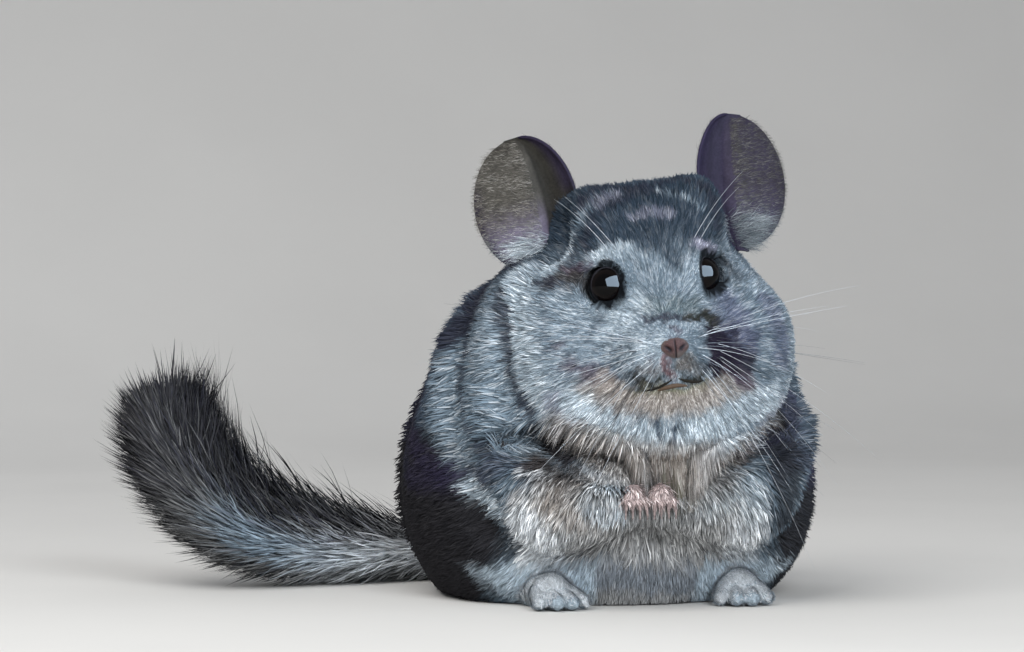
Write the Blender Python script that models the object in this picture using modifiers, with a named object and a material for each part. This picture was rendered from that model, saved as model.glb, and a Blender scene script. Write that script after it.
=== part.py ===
"""A grey chinchilla on its haunches with its paws tucked up and its tail swept to its right, life size.

The animal faces -Y, its left side is +X and the floor is z = 0. The origin is on the floor under its body.
Sizes are in metres, and the surface modelled is the outside of the coat.
"""

import functools
import math

import bmesh
import bpy
import numpy as np
from mathutils import Matrix, Vector

# Driving sizes
BODY_WIDTH = 0.156
BODY_LENGTH = 0.168
BACK_HEIGHT = 0.136
HEAD_WIDTH = 0.084
HEAD_LENGTH = 0.088
EAR_LENGTH = 0.056
EAR_WIDTH = 0.0435
EYE_DIAMETER = 0.0160
FOOT_LENGTH = 0.056
GAP = 0.0003

# Where the head sits, and how far it turns and leans towards the animal's right
HEAD_CENTRE = Vector((0.0033, -0.0420, 0.1240))
HEAD_YAW = math.radians(-8.0)
HEAD_LEAN = math.radians(-6.5)
HEAD_TURN = Matrix.Rotation(HEAD_YAW, 3, "Z") @ Matrix.Rotation(HEAD_LEAN, 3, "Y")

# Colours of the coat and of the bare parts
BACK_GREY = (0.055, 0.062, 0.085)
SILVER_GREY = (0.22, 0.26, 0.31)
WHITE_FUR = (0.60, 0.64, 0.68)
DARK_FUR = (0.018, 0.018, 0.021)
EAR_SKIN = (0.075, 0.070, 0.085)
EYE_BLACK = (0.006, 0.005, 0.006)
PINK_SKIN = (0.42, 0.27, 0.25)


def clear_scene():
    for obj in list(bpy.data.objects):
        bpy.data.objects.remove(obj, do_unlink=True)


def new_collection(name):
    made = bpy.data.collections.new(name)
    bpy.context.scene.collection.children.link(made)
    return made


def finish_material(name, colour, roughness, metallic=0.0):
    made = bpy.data.materials.new(name)
    made.use_nodes = True
    shader = made.node_tree.nodes["Principled BSDF"]
    shader.inputs["Base Color"].default_value = (*colour, 1.0)
    shader.inputs["Roughness"].default_value = roughness
    shader.inputs["Metallic"].default_value = metallic
    return made


def mesh_object(name, mesh, collection):
    obj = bpy.data.objects.new(name, mesh)
    collection.objects.link(obj)
    return obj


def object_from_bmesh(name, bm, collection):
    mesh = bpy.data.meshes.new(name)
    bm.to_mesh(mesh)
    bm.free()
    return mesh_object(name, mesh, collection)


def settle(obj):
    """Applies every modifier of a mesh object."""
    bpy.context.view_layer.update()
    evaluated = obj.evaluated_get(bpy.context.evaluated_depsgraph_get())
    mesh = bpy.data.meshes.new_from_object(evaluated)
    obj.modifiers.clear()
    obj.data = mesh


def remove(*objects):
    for obj in objects:
        bpy.data.objects.remove(obj, do_unlink=True)


def copy_of(obj, name):
    made = obj.copy()
    made.data = obj.data.copy()
    made.name = name
    obj.users_collection[0].objects.link(made)
    return made


def boolean(obj, operation, operand, solver="EXACT"):
    """Joins, cuts or crosses obj with one object or with a whole collection, and applies it."""
    change = obj.modifiers.new(operation.lower(), "BOOLEAN")
    change.operation = operation
    change.solver = solver
    if isinstance(operand, bpy.types.Collection):
        change.operand_type = "COLLECTION"
        change.collection = operand
    else:
        change.object = operand
    settle(obj)


def thin_out(obj, triangles):
    """Reduces a mesh to about this many triangles, keeping its creases."""
    obj.data.calc_loop_triangles()
    share = triangles / len(obj.data.loop_triangles)
    if share < 1:
        change = obj.modifiers.new("fewer", "DECIMATE")
        change.ratio = share
        settle(obj)


def slice_off(obj, point, normal):
    """Cuts away what lies on the normal's side of a plane and closes the cut."""
    bm = bmesh.new()
    bm.from_mesh(obj.data)
    cut = bmesh.ops.bisect_plane(
        bm,
        geom=bm.verts[:] + bm.edges[:] + bm.faces[:],
        dist=1e-7,
        plane_co=point,
        plane_no=normal,
        clear_outer=True,
    )
    rim = [e for e in cut["geom_cut"] if isinstance(e, bmesh.types.BMEdge)]
    bmesh.ops.holes_fill(bm, edges=rim)
    bmesh.ops.triangulate(bm, faces=bm.faces[:])
    bm.to_mesh(obj.data)
    bm.free()


def keep_largest(obj):
    """Drops every closed surface but the largest."""
    bm = bmesh.new()
    bm.from_mesh(obj.data)
    left = set(bm.verts)
    islands = []
    while left:
        island, edge = set(), [left.pop()]
        while edge:
            vert = edge.pop()
            island.add(vert)
            near = [e.other_vert(vert) for e in vert.link_edges]
            fresh = [v for v in near if v in left]
            left.difference_update(fresh)
            edge.extend(fresh)
        islands.append(island)
    islands.sort(key=len)
    for island in islands[:-1]:
        bmesh.ops.delete(bm, geom=list(island), context="VERTS")
    bm.to_mesh(obj.data)
    bm.free()


def swollen(obj, name, distance):
    """A copy with every vertex moved out along its normal, to cut a neighbour that far clear."""
    made = copy_of(obj, name)
    swell = made.modifiers.new("swell", "DISPLACE")
    swell.mid_level = 0
    swell.strength = distance
    settle(made)
    return made


def finish_node(obj, name, material):
    keep_largest(obj)
    obj.name = name
    obj.data.name = name
    obj.data.materials.clear()
    obj.data.materials.append(material)
    obj.data.shade_smooth()
    return obj


def in_head(x, y, z):
    """A point given from the head's own centre, in the frame of the whole animal."""
    return HEAD_CENTRE + HEAD_TURN @ Vector((x, y, z))


class Mass:
    """An ellipsoid of the body: its centre, its three radii and the way it is turned."""

    def __init__(self, centre, radii, turn=None):
        self.centre = np.array(centre, float)
        self.radii = np.array(radii, float)
        self.turn = np.array(turn if turn is not None else Matrix.Identity(3), float)

    def distance(self, points):
        """Close to the distance from the ellipsoid's surface, negative inside it."""
        local = (points - self.centre) @ self.turn
        scaled = np.linalg.norm(local / self.radii, axis=1)
        slope = np.linalg.norm(local / self.radii**2, axis=1)
        return scaled * (scaled - 1) / np.maximum(slope, 1e-9)

    def add_to(self, bm):
        turn = Matrix(self.turn.tolist()).to_4x4()
        place = Matrix.Translation(self.centre) @ turn @ Matrix.Diagonal((*self.radii, 1))
        bmesh.ops.create_icosphere(bm, subdivisions=3, radius=1, matrix=place)


def mirrored(centre, radii):
    """The same ellipsoid on both sides of the body."""
    x, y, z = centre
    return [Mass((side * x, y, z), radii) for side in (-1, 1)]


def head_mass(centre, radii):
    return Mass(in_head(*centre), radii, HEAD_TURN)


def head_pair(centre, radii):
    x, y, z = centre
    return [head_mass((side * x, y, z), radii) for side in (-1, 1)]


def chain(points, radii, steps):
    """Balls set close along a bent line, their radii changing evenly from end to end."""
    points = [Vector(p) for p in points]
    made = []
    spans = len(points) - 1
    for i in range(steps):
        along = i / (steps - 1) * spans
        span = min(int(along), spans - 1)
        share = along - span
        centre = points[span].lerp(points[span + 1], share)
        radius = radii[span] + (radii[span + 1] - radii[span]) * share
        made.append(Mass(centre, (radius,) * 3))
    return made


def trunk_masses():
    half, length, height = BODY_WIDTH / 2, BODY_LENGTH / 2, BACK_HEIGHT
    barrel = Mass((-0.001, 0.014, 0.37 * height), (0.95 * half, 0.91 * length, 0.63 * height))
    shoulders = Mass((-0.005, -0.016, 0.645 * height), (0.90 * half, 0.56 * length, 0.39 * height))
    neck = Mass((0.000, -0.036, 0.77 * height), (0.71 * half, 0.43 * length, 0.34 * height))
    thighs = [Mass(m.centre - (0.001, 0, 0), m.radii) for m in haunches(half, length, height)]
    return [barrel, shoulders, neck, *thighs]


def haunches(half, length, height):
    return mirrored((0.64 * half, 0.004, 0.30 * height), (0.38 * half, 0.62 * length, 0.31 * height))


def bib_masses():
    """The thick roll of white fur that hangs under the chin from one cheek to the other."""
    made = []
    for step in range(-4, 5):
        angle = math.radians(19 * step)
        across = 0.0395 * math.sin(angle)
        drop = 0.040 * math.cos(angle)
        forward = 0.008 + 0.014 * math.cos(angle)
        radius = 0.014 + 0.004 * math.cos(angle)
        made.append(head_mass((across, -forward, 0.003 - 0.016 - drop), (radius, radius, radius)))
    return made


def arm_masses(side):
    """Upper arm down to the elbow, then the forearm in to the chest."""
    shoulder = (side * 0.050, -0.036, 0.068)
    elbow = (side * 0.039, -0.054, 0.039)
    wrist = (side * 0.009 + PAWS_X, -0.069, 0.044)
    return chain([shoulder, elbow, wrist], [0.019, 0.015, 0.008], 9)


def head_masses():
    half = HEAD_WIDTH / 2
    skull = head_mass((0, 0.0020, -0.0020), (0.81 * half, 0.41 * HEAD_LENGTH, 1.03 * half))
    crown = head_pair((0.0200, 0.0020, 0.0200), (0.0200, 0.0260, 0.0215))
    brows = head_pair((0.0170, -0.0170, 0.0130), (0.0100, 0.0085, 0.0070))
    bridge = head_mass((0, -0.0180, -0.0040), (0.0170, 0.0200, 0.0150))
    cheeks = head_pair((0.0250, -0.0080, -0.0190), (0.0200, 0.0220, 0.0200))
    muzzle = head_mass((0, -0.0360, -0.0245), (0.0185, 0.0140, 0.0135))
    pads = head_pair((0.0090, -0.0390, -0.0280), (0.0105, 0.0100, 0.0085))
    nose = head_mass((0, -0.0475, -0.0205), (0.0055, 0.0045, 0.0045))
    chin = head_mass((0, -0.0340, -0.0400), (0.0110, 0.0090, 0.0060))
    return [skull, *crown, *brows, bridge, *cheeks, muzzle, *pads, nose, chin]


PAWS_X = -0.008
TRUNK_BLEND = 0.022
HEAD_BLEND = 0.007
NECK_BLEND = 0.012
ARM_BLEND = 0.008
FOLD_RADII = (0.0600, 0.0730)
FOLD_SLANT = 0.49
FOLD_DEPTH = 0.0030
FOLD_WIDTH = 0.0034


def blended(distances, reach):
    """The least of several distances, rounded off where two are within reach of each other."""

    def join(a, b):
        near = np.clip(1 - np.abs(a - b) / reach, 0, None)
        return np.minimum(a, b) - near**2 * reach / 4

    return functools.reduce(join, distances)


def neck_folds(points):
    """How deep the coat is furrowed: slanting rings about the head, deep on the flanks, gone on the back."""
    from_head = points - np.array(HEAD_CENTRE)
    away = np.linalg.norm(from_head, axis=1)
    flank = np.clip(np.abs(from_head[:, 0]) / np.maximum(away, 1e-6) * 1.7 - 0.45, 0, 1)
    behind = np.clip(0.9 - from_head[:, 2] / 0.030, 0, 1)
    phase = away + FOLD_SLANT * (from_head[:, 2] + 0.017)
    depth = sum(np.exp(-(((phase - radius) / FOLD_WIDTH) ** 2)) for radius in FOLD_RADII)
    return FOLD_DEPTH * depth * flank * behind


TRUNK = trunk_masses()
BIB = bib_masses()
BARE_HEAD = head_masses()
ARMS = {side: arm_masses(side) for side in (-1, 1)}


def coat_distance(points, head=None):
    """How far each point is from the outside of the coat, negative inside."""
    trunk = blended([m.distance(points) for m in TRUNK], TRUNK_BLEND)
    bib = blended([m.distance(points) for m in BIB], NECK_BLEND)
    face = blended([m.distance(points) for m in head or HEAD], HEAD_BLEND)
    arms = [blended([m.distance(points) for m in ARMS[side]], NECK_BLEND) for side in ARMS]
    whole = blended([trunk, face, bib], NECK_BLEND)
    whole = blended([whole, *arms], ARM_BLEND)
    return whole + neck_folds(points)


# The eyes, from the head's own centre, each looking out and a little up, and the lids round them
EYE_PLACE = (0.0138, -0.0205, 0.0015)
EYE_LOOK = Vector((0.70, -0.70, 0.14)).normalized()
EYE_PROUD = 0.0034
LID_THICKNESS = 0.0010
LID_OPENING = 0.0070


def eye_look(side):
    return HEAD_TURN @ Vector((side * EYE_LOOK.x, EYE_LOOK.y, EYE_LOOK.z))


def eye_centre(side):
    """Set so deep that the ball stands EYE_PROUD out of the coat."""
    look = eye_look(side)
    start = in_head(side * EYE_PLACE[0], EYE_PLACE[1], EYE_PLACE[2])
    reach = np.linspace(-0.010, 0.020, 601)
    line = np.array(start) + reach[:, None] * np.array(look)
    surface = reach[np.argmax(coat_distance(line, BARE_HEAD) > 0)]
    return start + look * float(surface - EYE_DIAMETER / 2 + EYE_PROUD)


EYES = {side: eye_centre(side) for side in (-1, 1)}
LIDS = [Mass(EYES[side], (EYE_DIAMETER / 2 + LID_THICKNESS,) * 3) for side in (-1, 1)]
HEAD = [*BARE_HEAD, *LIDS]


def slide_to_coat(obj, rounds):
    """Moves each vertex down the slope of coat_distance until it lies on the coat."""
    points = np.empty(len(obj.data.vertices) * 3)
    obj.data.vertices.foreach_get("co", points)
    points = points.reshape(-1, 3)
    step = 1e-5
    for _ in range(rounds):
        here = coat_distance(points)
        ahead = [coat_distance(points + step * np.eye(3)[i]) for i in range(3)]
        slope = (np.stack(ahead, axis=1) - here[:, None]) / step
        size = np.maximum((slope**2).sum(axis=1), 0.2)
        points -= 0.8 * slope * (here / size)[:, None]
    obj.data.vertices.foreach_set("co", points.ravel())
    obj.data.update()


def fuse_voxels(obj, size):
    fuse = obj.modifiers.new("fuse", "REMESH")
    fuse.mode = "VOXEL"
    fuse.voxel_size = size
    settle(obj)


def coat_object(name, detail, collection):
    """One closed mesh of the coat: its masses are fused and slid to its surface, and then once more."""
    bm = bmesh.new()
    for mass in [*TRUNK, *BIB, *HEAD, *ARMS[-1], *ARMS[1]]:
        mass.add_to(bm)
    obj = object_from_bmesh(name, bm, collection)
    fuse_voxels(obj, detail)
    slide_to_coat(obj, 12)
    fuse_voxels(obj, detail)
    slide_to_coat(obj, 3)
    even = obj.modifiers.new("even", "SMOOTH")
    even.factor = 0.4
    even.iterations = 2
    settle(obj)
    bm = bmesh.new()
    bm.from_mesh(obj.data)
    bmesh.ops.triangulate(bm, faces=bm.faces[:])
    bm.to_mesh(obj.data)
    bm.free()
    return obj


# The two planes that part the head from the neck and the neck from the trunk
HEAD_AXIS = Vector((-0.04, -0.66, 0.75)).normalized()
HEAD_CUT = HEAD_CENTRE - 0.021 * HEAD_AXIS
TRUNK_AXIS = Vector((-0.03, -0.50, 0.87)).normalized()
TRUNK_CUT = HEAD_CENTRE - 0.046 * TRUNK_AXIS


def ellipsoid_object(name, centre, radii, collection, turn=None, segments=24):
    bm = bmesh.new()
    turn = turn.to_4x4() if turn else Matrix.Identity(4)
    place = Matrix.Translation(centre) @ turn @ Matrix.Diagonal((*radii, 1))
    bmesh.ops.create_uvsphere(bm, u_segments=segments, v_segments=segments // 2, radius=1, matrix=place)
    return object_from_bmesh(name, bm, collection)


# The oval lines along which the thighs and the arms part from the trunk
THIGH_CENTRE, THIGH_RADII = (0.066, 0.004, 0.036), (0.034, 0.052, 0.042)
ARM_CENTRE, ARM_RADII = (0.036, -0.062, 0.053), (0.031, 0.022, 0.021)


def part_limb(whole, centre, radii, side, collection):
    """What of the whole lies inside an oval, and the oval itself a little larger, to cut the trunk with."""
    x, y, z = centre
    inside = ellipsoid_object("inside", (side * x, y, z), radii, collection)
    grown = ellipsoid_object("grown", (side * x, y, z), [r + GAP for r in radii], collection)
    limb = copy_of(whole, "limb")
    boolean(limb, "INTERSECT", inside)
    remove(inside)
    return limb, grown


def build_trunk(whole, parts, cutters, materials):
    """The neck, the trunk, the thighs and the arms, all cut from one shape."""
    neck = copy_of(whole, "neck")
    slice_off(neck, HEAD_CUT - GAP * HEAD_AXIS, HEAD_AXIS)
    slice_off(neck, TRUNK_CUT, -TRUNK_AXIS)
    body = copy_of(whole, "body")
    slice_off(body, TRUNK_CUT - GAP * TRUNK_AXIS, TRUNK_AXIS)
    slice_off(body, (0, 0, 0), (0, 0, -1))
    trunk = copy_of(body, "trunk")
    for side, word in ((-1, "right"), (1, "left")):
        for centre, radii, limb_name in (
            (THIGH_CENTRE, THIGH_RADII, "thigh"),
            (ARM_CENTRE, ARM_RADII, "foreleg"),
        ):
            limb, grown = part_limb(body, centre, radii, side, cutters)
            boolean(trunk, "DIFFERENCE", grown)
            boolean(neck, "DIFFERENCE", grown)
            remove(grown)
            for collection in limb.users_collection:
                collection.objects.unlink(limb)
            parts.objects.link(limb)
            finish_node(limb, f"{limb_name}_{word}", materials[limb_name])
    remove(body)
    for obj, name in ((neck, "neck"), (trunk, "torso")):
        for collection in obj.users_collection:
            collection.objects.unlink(obj)
        parts.objects.link(obj)
        finish_node(obj, name, materials[name])


# Places on the face, across and up from the head's own centre
NOSTRIL = (0.0046, -0.0225)
MOUTH_LINE = ((-0.0135, -0.0385), (-0.0070, -0.0372), (0.0, -0.0352), (0.0070, -0.0372), (0.0135, -0.0385))
LIP_LINE = ((0.0, -0.0225), (0.0, -0.0290), (0.0, -0.0350))


def on_face(x, z, sunk=0.0):
    """The point of the face's surface straight ahead of a place in the head, or one a little behind it."""
    ahead = np.linspace(0.060, 0.0, 1201)
    line = np.array([in_head(x, -y, z) for y in ahead])
    surface = ahead[np.argmax(coat_distance(line) < 0)]
    return in_head(x, -(surface - sunk), z)


def carve(obj, centre, radii, turn, collection):
    """Cuts an ellipsoid out of an object."""
    cutter = ellipsoid_object("cutter", centre, radii, collection, turn, 20)
    boolean(obj, "DIFFERENCE", cutter)
    remove(cutter)


def tube_along(points, radius, name, collection):
    """A tube round a smooth line, closed with caps."""
    line = bpy.data.curves.new(name, "CURVE")
    line.dimensions = "3D"
    line.bevel_depth = radius
    line.bevel_resolution = 2
    line.use_fill_caps = True
    line.resolution_u = 4
    spline = line.splines.new("BEZIER")
    spline.bezier_points.add(len(points) - 1)
    for knot, place in zip(spline.bezier_points, points):
        knot.co = place
        knot.handle_left_type = knot.handle_right_type = "AUTO"
    obj = bpy.data.objects.new(name, line)
    collection.objects.link(obj)
    bpy.context.view_layer.update()
    evaluated = obj.evaluated_get(bpy.context.evaluated_depsgraph_get())
    mesh = bpy.data.meshes.new_from_object(evaluated)
    remove(obj)
    bm = bmesh.new()
    bm.from_mesh(mesh)
    bmesh.ops.remove_doubles(bm, verts=bm.verts[:], dist=0.00005)
    bm.to_mesh(mesh)
    bm.free()
    return mesh_object(name, mesh, collection)


def carve_mouth(head, cutters):
    """The line of the mouth, the groove under the nose and the two nostrils."""
    mouth = tube_along([on_face(x, z) for x, z in MOUTH_LINE], 0.0011, "mouth", cutters)
    lip = tube_along([on_face(x, z) for x, z in LIP_LINE], 0.0008, "lip", cutters)
    for cutter in (mouth, lip):
        boolean(head, "DIFFERENCE", cutter)
    remove(mouth, lip)
    for side in (-1, 1):
        tilt = HEAD_TURN @ Matrix.Rotation(math.radians(35 * side), 3, "Y")
        place = on_face(side * NOSTRIL[0], NOSTRIL[1])
        carve(head, place, (0.0011, 0.0024, 0.0021), tilt, cutters)


def open_lids(head, side, cutters):
    """Cuts the gap between the lids: a short round drum along the look, a little taller than it is wide."""
    look = eye_look(side)
    facing = look.to_track_quat("Z", "Y").to_matrix().to_4x4()
    bm = bmesh.new()
    place = Matrix.Translation(EYES[side] + look * (EYE_DIAMETER / 2)) @ facing
    bmesh.ops.create_cone(
        bm,
        cap_ends=True,
        segments=28,
        radius1=0.93 * LID_OPENING,
        radius2=1.10 * LID_OPENING,
        depth=0.0080,
        matrix=place,
    )
    drum = object_from_bmesh("drum", bm, cutters)
    boolean(head, "DIFFERENCE", drum)
    remove(drum)


def build_head(whole, parts, cutters, materials):
    """The head with its sockets, lids, mouth and nostrils, and the two eyeballs."""
    head = copy_of(whole, "head")
    slice_off(head, HEAD_CUT, -HEAD_AXIS)
    for side, word in ((-1, "right"), (1, "left")):
        facing = eye_look(side).to_track_quat("Z", "Y").to_matrix()
        radius = EYE_DIAMETER / 2
        open_lids(head, side, cutters)
        carve(head, EYES[side], (radius + GAP,) * 3, facing, cutters)
        eye = ellipsoid_object("eye", EYES[side], (radius,) * 3, parts, facing, 16)
        finish_node(eye, f"eye_{word}", materials["eye"])
    carve_mouth(head, cutters)
    for collection in head.users_collection:
        collection.objects.unlink(head)
    parts.objects.link(head)
    finish_node(head, "head", materials["head"])


# The ears, from the head's own centre: where each is rooted, and how it stands
EAR_ROOT = (0.0385, 0.0110, 0.0090)
EAR_SPLAY = 11
EAR_YAW = 24
EAR_LEAN = -11


def ear_relief(u, v):
    """How far the ear comes forward: a rolled rim at the head's side, a fold, a ridge and a broad lobe."""
    rim = 0.0050 * np.clip(-(u + 0.42) / 0.58, 0, 1) ** 2
    lobe = 0.0062 * (1 - np.clip((u + 0.14) / 1.14, 0, 1) ** 2)
    step = 1 / (1 + np.exp(-(u + 0.22) / 0.035))
    depth = np.clip((0.97 - v) / 0.45, 0, 1) ** 0.6
    return rim + lobe * step * depth


def build_ear(side, word, outside, parts, materials):
    """An egg of skin on a grid: u runs from the rim by the crown to the outer rim, v from root to tip."""
    inner, ridge, outer = np.linspace(-1, -0.41, 4), np.linspace(-0.31, -0.13, 3), np.linspace(0, 1, 7)
    u = np.concatenate([inner, ridge, outer])[None, :]
    v = np.sin(np.linspace(0, 1, 13) * math.pi / 2)[:, None]
    columns, rows = u.shape[1], v.shape[0]
    egg = np.sqrt(np.clip(1 - ((v**0.95 - 0.52) / 0.48) ** 2, 0.03, 1))
    across = EAR_WIDTH / 2 * egg * np.sin(u * 1.3) / math.sin(1.3) + 0.002 * v
    up = EAR_LENGTH * v + 0 * u
    back = 0.006 * v**2 - ear_relief(u, v) * np.minimum(egg * 1.3, 1)
    local = np.stack([side * across, back, up], axis=-1).reshape(-1, 3)
    splay = Matrix.Rotation(math.radians(EAR_SPLAY * side), 3, "Y")
    yaw = Matrix.Rotation(math.radians(EAR_YAW * side), 3, "Z")
    lean = Matrix.Rotation(math.radians(EAR_LEAN), 3, "X")
    turn = HEAD_TURN @ splay @ yaw @ lean
    root = in_head(side * EAR_ROOT[0], EAR_ROOT[1], EAR_ROOT[2])
    points = local @ np.array(turn).T + np.array(root)
    faces = []
    for row in range(rows - 1):
        for column in range(columns - 1):
            a = row * columns + column
            b, c, d = a + 1, a + columns + 1, a + columns
            faces += [(a, b, c), (a, c, d)] if side < 0 else [(a, c, b), (a, d, c)]
    mesh = bpy.data.meshes.new("ear")
    mesh.from_pydata([tuple(p) for p in points], [], faces)
    ear = mesh_object("ear", mesh, parts)
    wall = ear.modifiers.new("wall", "SOLIDIFY")
    wall.thickness = 0.0014
    wall.offset = 0
    settle(ear)
    boolean(ear, "DIFFERENCE", outside)
    finish_node(ear, f"ear_{word}", materials["ear"])


FEET_X = 0.038
FOOT_SPLAY = 8


def build_foot(side, word, outside, parts, materials):
    """The part of the hind foot that shows: the sole and four toes, each with a blunt nail."""
    turn = Matrix.Rotation(math.radians(-FOOT_SPLAY * side), 3, "Z")
    ball = Vector((side * FEET_X, -0.047, 0.0060))
    heel = ball + turn @ Vector((0, FOOT_LENGTH - 0.022, 0.0010))
    bm = bmesh.new()
    for mass in chain([heel, ball], [0.0095, 0.0082], 7):
        mass.add_to(bm)
    for spread, reach in ((-0.0072, 0.0105), (-0.0025, 0.0145), (0.0025, 0.0145), (0.0072, 0.0105)):
        knuckle = ball + turn @ Vector((spread * 0.8, -0.002, 0.0002))
        tip = ball + turn @ Vector((spread * 1.25, -reach, -0.0027))
        nail = ball + turn @ Vector((spread * 1.30, -reach - 0.0042, -0.0038))
        for mass in chain([knuckle, tip], [0.0038, 0.0031], 5):
            mass.add_to(bm)
        for mass in chain([tip, nail], [0.0018, 0.0010], 5):
            mass.add_to(bm)
    foot = object_from_bmesh("foot", bm, parts)
    fuse_voxels(foot, 0.0007)
    thin_out(foot, 800)
    slice_off(foot, (0, 0, 0), (0, 0, -1))
    boolean(foot, "DIFFERENCE", outside)
    finish_node(foot, f"hind_foot_{word}", materials["foot"])


def build_paw(side, word, outside, parts, materials):
    """A forepaw held up at the chest, its fingers curled down."""
    wrist = Vector((PAWS_X + side * 0.0070, -0.068, 0.0445))
    palm = Vector((PAWS_X + side * 0.0056, -0.0775, 0.0450))
    bm = bmesh.new()
    for mass in chain([wrist, palm], [0.0055, 0.0045], 5):
        mass.add_to(bm)
    for spread in (-0.0036, -0.0012, 0.0012, 0.0036):
        knuckle = palm + Vector((spread * 0.9, -0.0020, -0.0005))
        bend = knuckle + Vector((spread * 0.2, -0.0034, -0.0018))
        tip = bend + Vector((spread * 0.1, -0.0002, -0.0062))
        for mass in chain([knuckle, bend, tip], [0.0014, 0.0011, 0.0008], 9):
            mass.add_to(bm)
    paw = object_from_bmesh("paw", bm, parts)
    fuse_voxels(paw, 0.0004)
    thin_out(paw, 540)
    boolean(paw, "DIFFERENCE", outside)
    finish_node(paw, f"forepaw_{word}", materials["paw"])


# The bone of the tail from inside the rump to its end, the flesh and short fur on it, and its partings
TAIL_LINE = (
    (-0.0050, 0.0700, 0.0180),
    (-0.0300, 0.0860, 0.0125),
    (-0.0610, 0.0810, 0.0115),
    (-0.0880, 0.0740, 0.0120),
    (-0.1140, 0.0680, 0.0150),
    (-0.1350, 0.0640, 0.0210),
    (-0.1500, 0.0615, 0.0310),
    (-0.1620, 0.0600, 0.0450),
    (-0.1690, 0.0590, 0.0580),
    (-0.1720, 0.0580, 0.0690),
)
TAIL_CORE = (0.0095, 0.0100, 0.0100, 0.0095, 0.0090, 0.0090, 0.0085, 0.0075, 0.0060, 0.0035)
TAIL_PARTINGS = (0.24, 0.635)

# How far the hair tips stand from the bone, along the tail: on its upper side, on its flanks and beneath
REACH_ABOVE = (0.010, 0.012, 0.016, 0.027, 0.034, 0.035, 0.033, 0.030, 0.024, 0.014)
REACH_BESIDE = (0.010, 0.011, 0.013, 0.016, 0.019, 0.021, 0.022, 0.021, 0.018, 0.012)
REACH_BELOW = (0.010, 0.011, 0.011, 0.012, 0.013, 0.016, 0.020, 0.021, 0.019, 0.012)
LOCK_WIDTH = 0.0118
LOCK_THICKNESS = 0.0046
LOCK_RINGS = ((0.0, 0.80), (0.38, 1.0), (0.78, 0.58))
LOCK_SHARES = (0.270, 0.350, 0.430, 0.510, 0.590, 0.675, 0.755, 0.835, 0.920)
LOCKS_ROUND = 6


def along_tail(table, share):
    return float(np.interp(share, np.linspace(0, 1, len(table)), table))


def tail_point(share):
    """A point of the smooth curve through the tail's line, at a share of its spans."""
    spans = len(TAIL_LINE) - 1
    along = min(max(share, 0.0), 1.0) * spans
    span = min(int(along), spans - 1)
    t = along - span
    p0, p1, p2, p3 = (Vector(TAIL_LINE[min(max(span + k, 0), spans)]) for k in (-1, 0, 1, 2))
    bend = (2 * p0 - 5 * p1 + 4 * p2 - p3) * t**2
    twist = (3 * p1 - p0 - 3 * p2 + p3) * t**3
    return 0.5 * (2 * p1 + (p2 - p0) * t + bend + twist)


def tail_frame(share):
    """The way along the tail, the way towards its upper side, and the way to its flank."""
    way = (tail_point(share + 0.01) - tail_point(share - 0.01)).normalized()
    above = Vector((0, 1, 0)).cross(way).normalized()
    return way, above, way.cross(above)


def tail_core(start, end, rings, sides, name, collection):
    """The length of the tail between two shares, without its brush."""
    bm = bmesh.new()
    loops = []
    for i in range(rings + 1):
        share = start + (end - start) * i / rings
        way, above, beside = tail_frame(share)
        centre, radius = tail_point(share), along_tail(TAIL_CORE, share)
        loop = []
        for k in range(sides):
            angle = 2 * math.pi * k / sides
            loop.append(bm.verts.new(centre + radius * (math.cos(angle) * beside + math.sin(angle) * above)))
        loops.append(loop)
    for a, b in zip(loops, loops[1:]):
        for k in range(sides):
            n = (k + 1) % sides
            bm.faces.new((a[k], a[n], b[n], b[k]))
    bm.faces.new(loops[0][::-1])
    bm.faces.new(loops[-1])
    bmesh.ops.recalc_face_normals(bm, faces=bm.faces[:])
    bmesh.ops.triangulate(bm, faces=bm.faces[:])
    return object_from_bmesh(name, bm, collection)


def lock_path(share, angle, length):
    """Root, bend and tip of a lock: sunk in the core, it rises and lies over towards the tail's end."""
    way, above, beside = tail_frame(share)
    up = math.cos(angle)
    vertical = along_tail(REACH_ABOVE if up > 0 else REACH_BELOW, share)
    reach = math.hypot(vertical * up, along_tail(REACH_BESIDE, share) * math.sin(angle)) * length
    out = (above * up + beside * math.sin(angle)).normalized()
    core = along_tail(TAIL_CORE, share)
    run = (0.016 + 0.55 * reach) * length
    foot = tail_point(share)
    bend = foot + out * 0.72 * reach + way * 0.30 * run
    return foot + out * 0.4 * core, bend, foot + out * reach + way * run


def on_path(path, t):
    root, bend, tip = path
    return (1 - t) ** 2 * root + 2 * t * (1 - t) * bend + t**2 * tip


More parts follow.
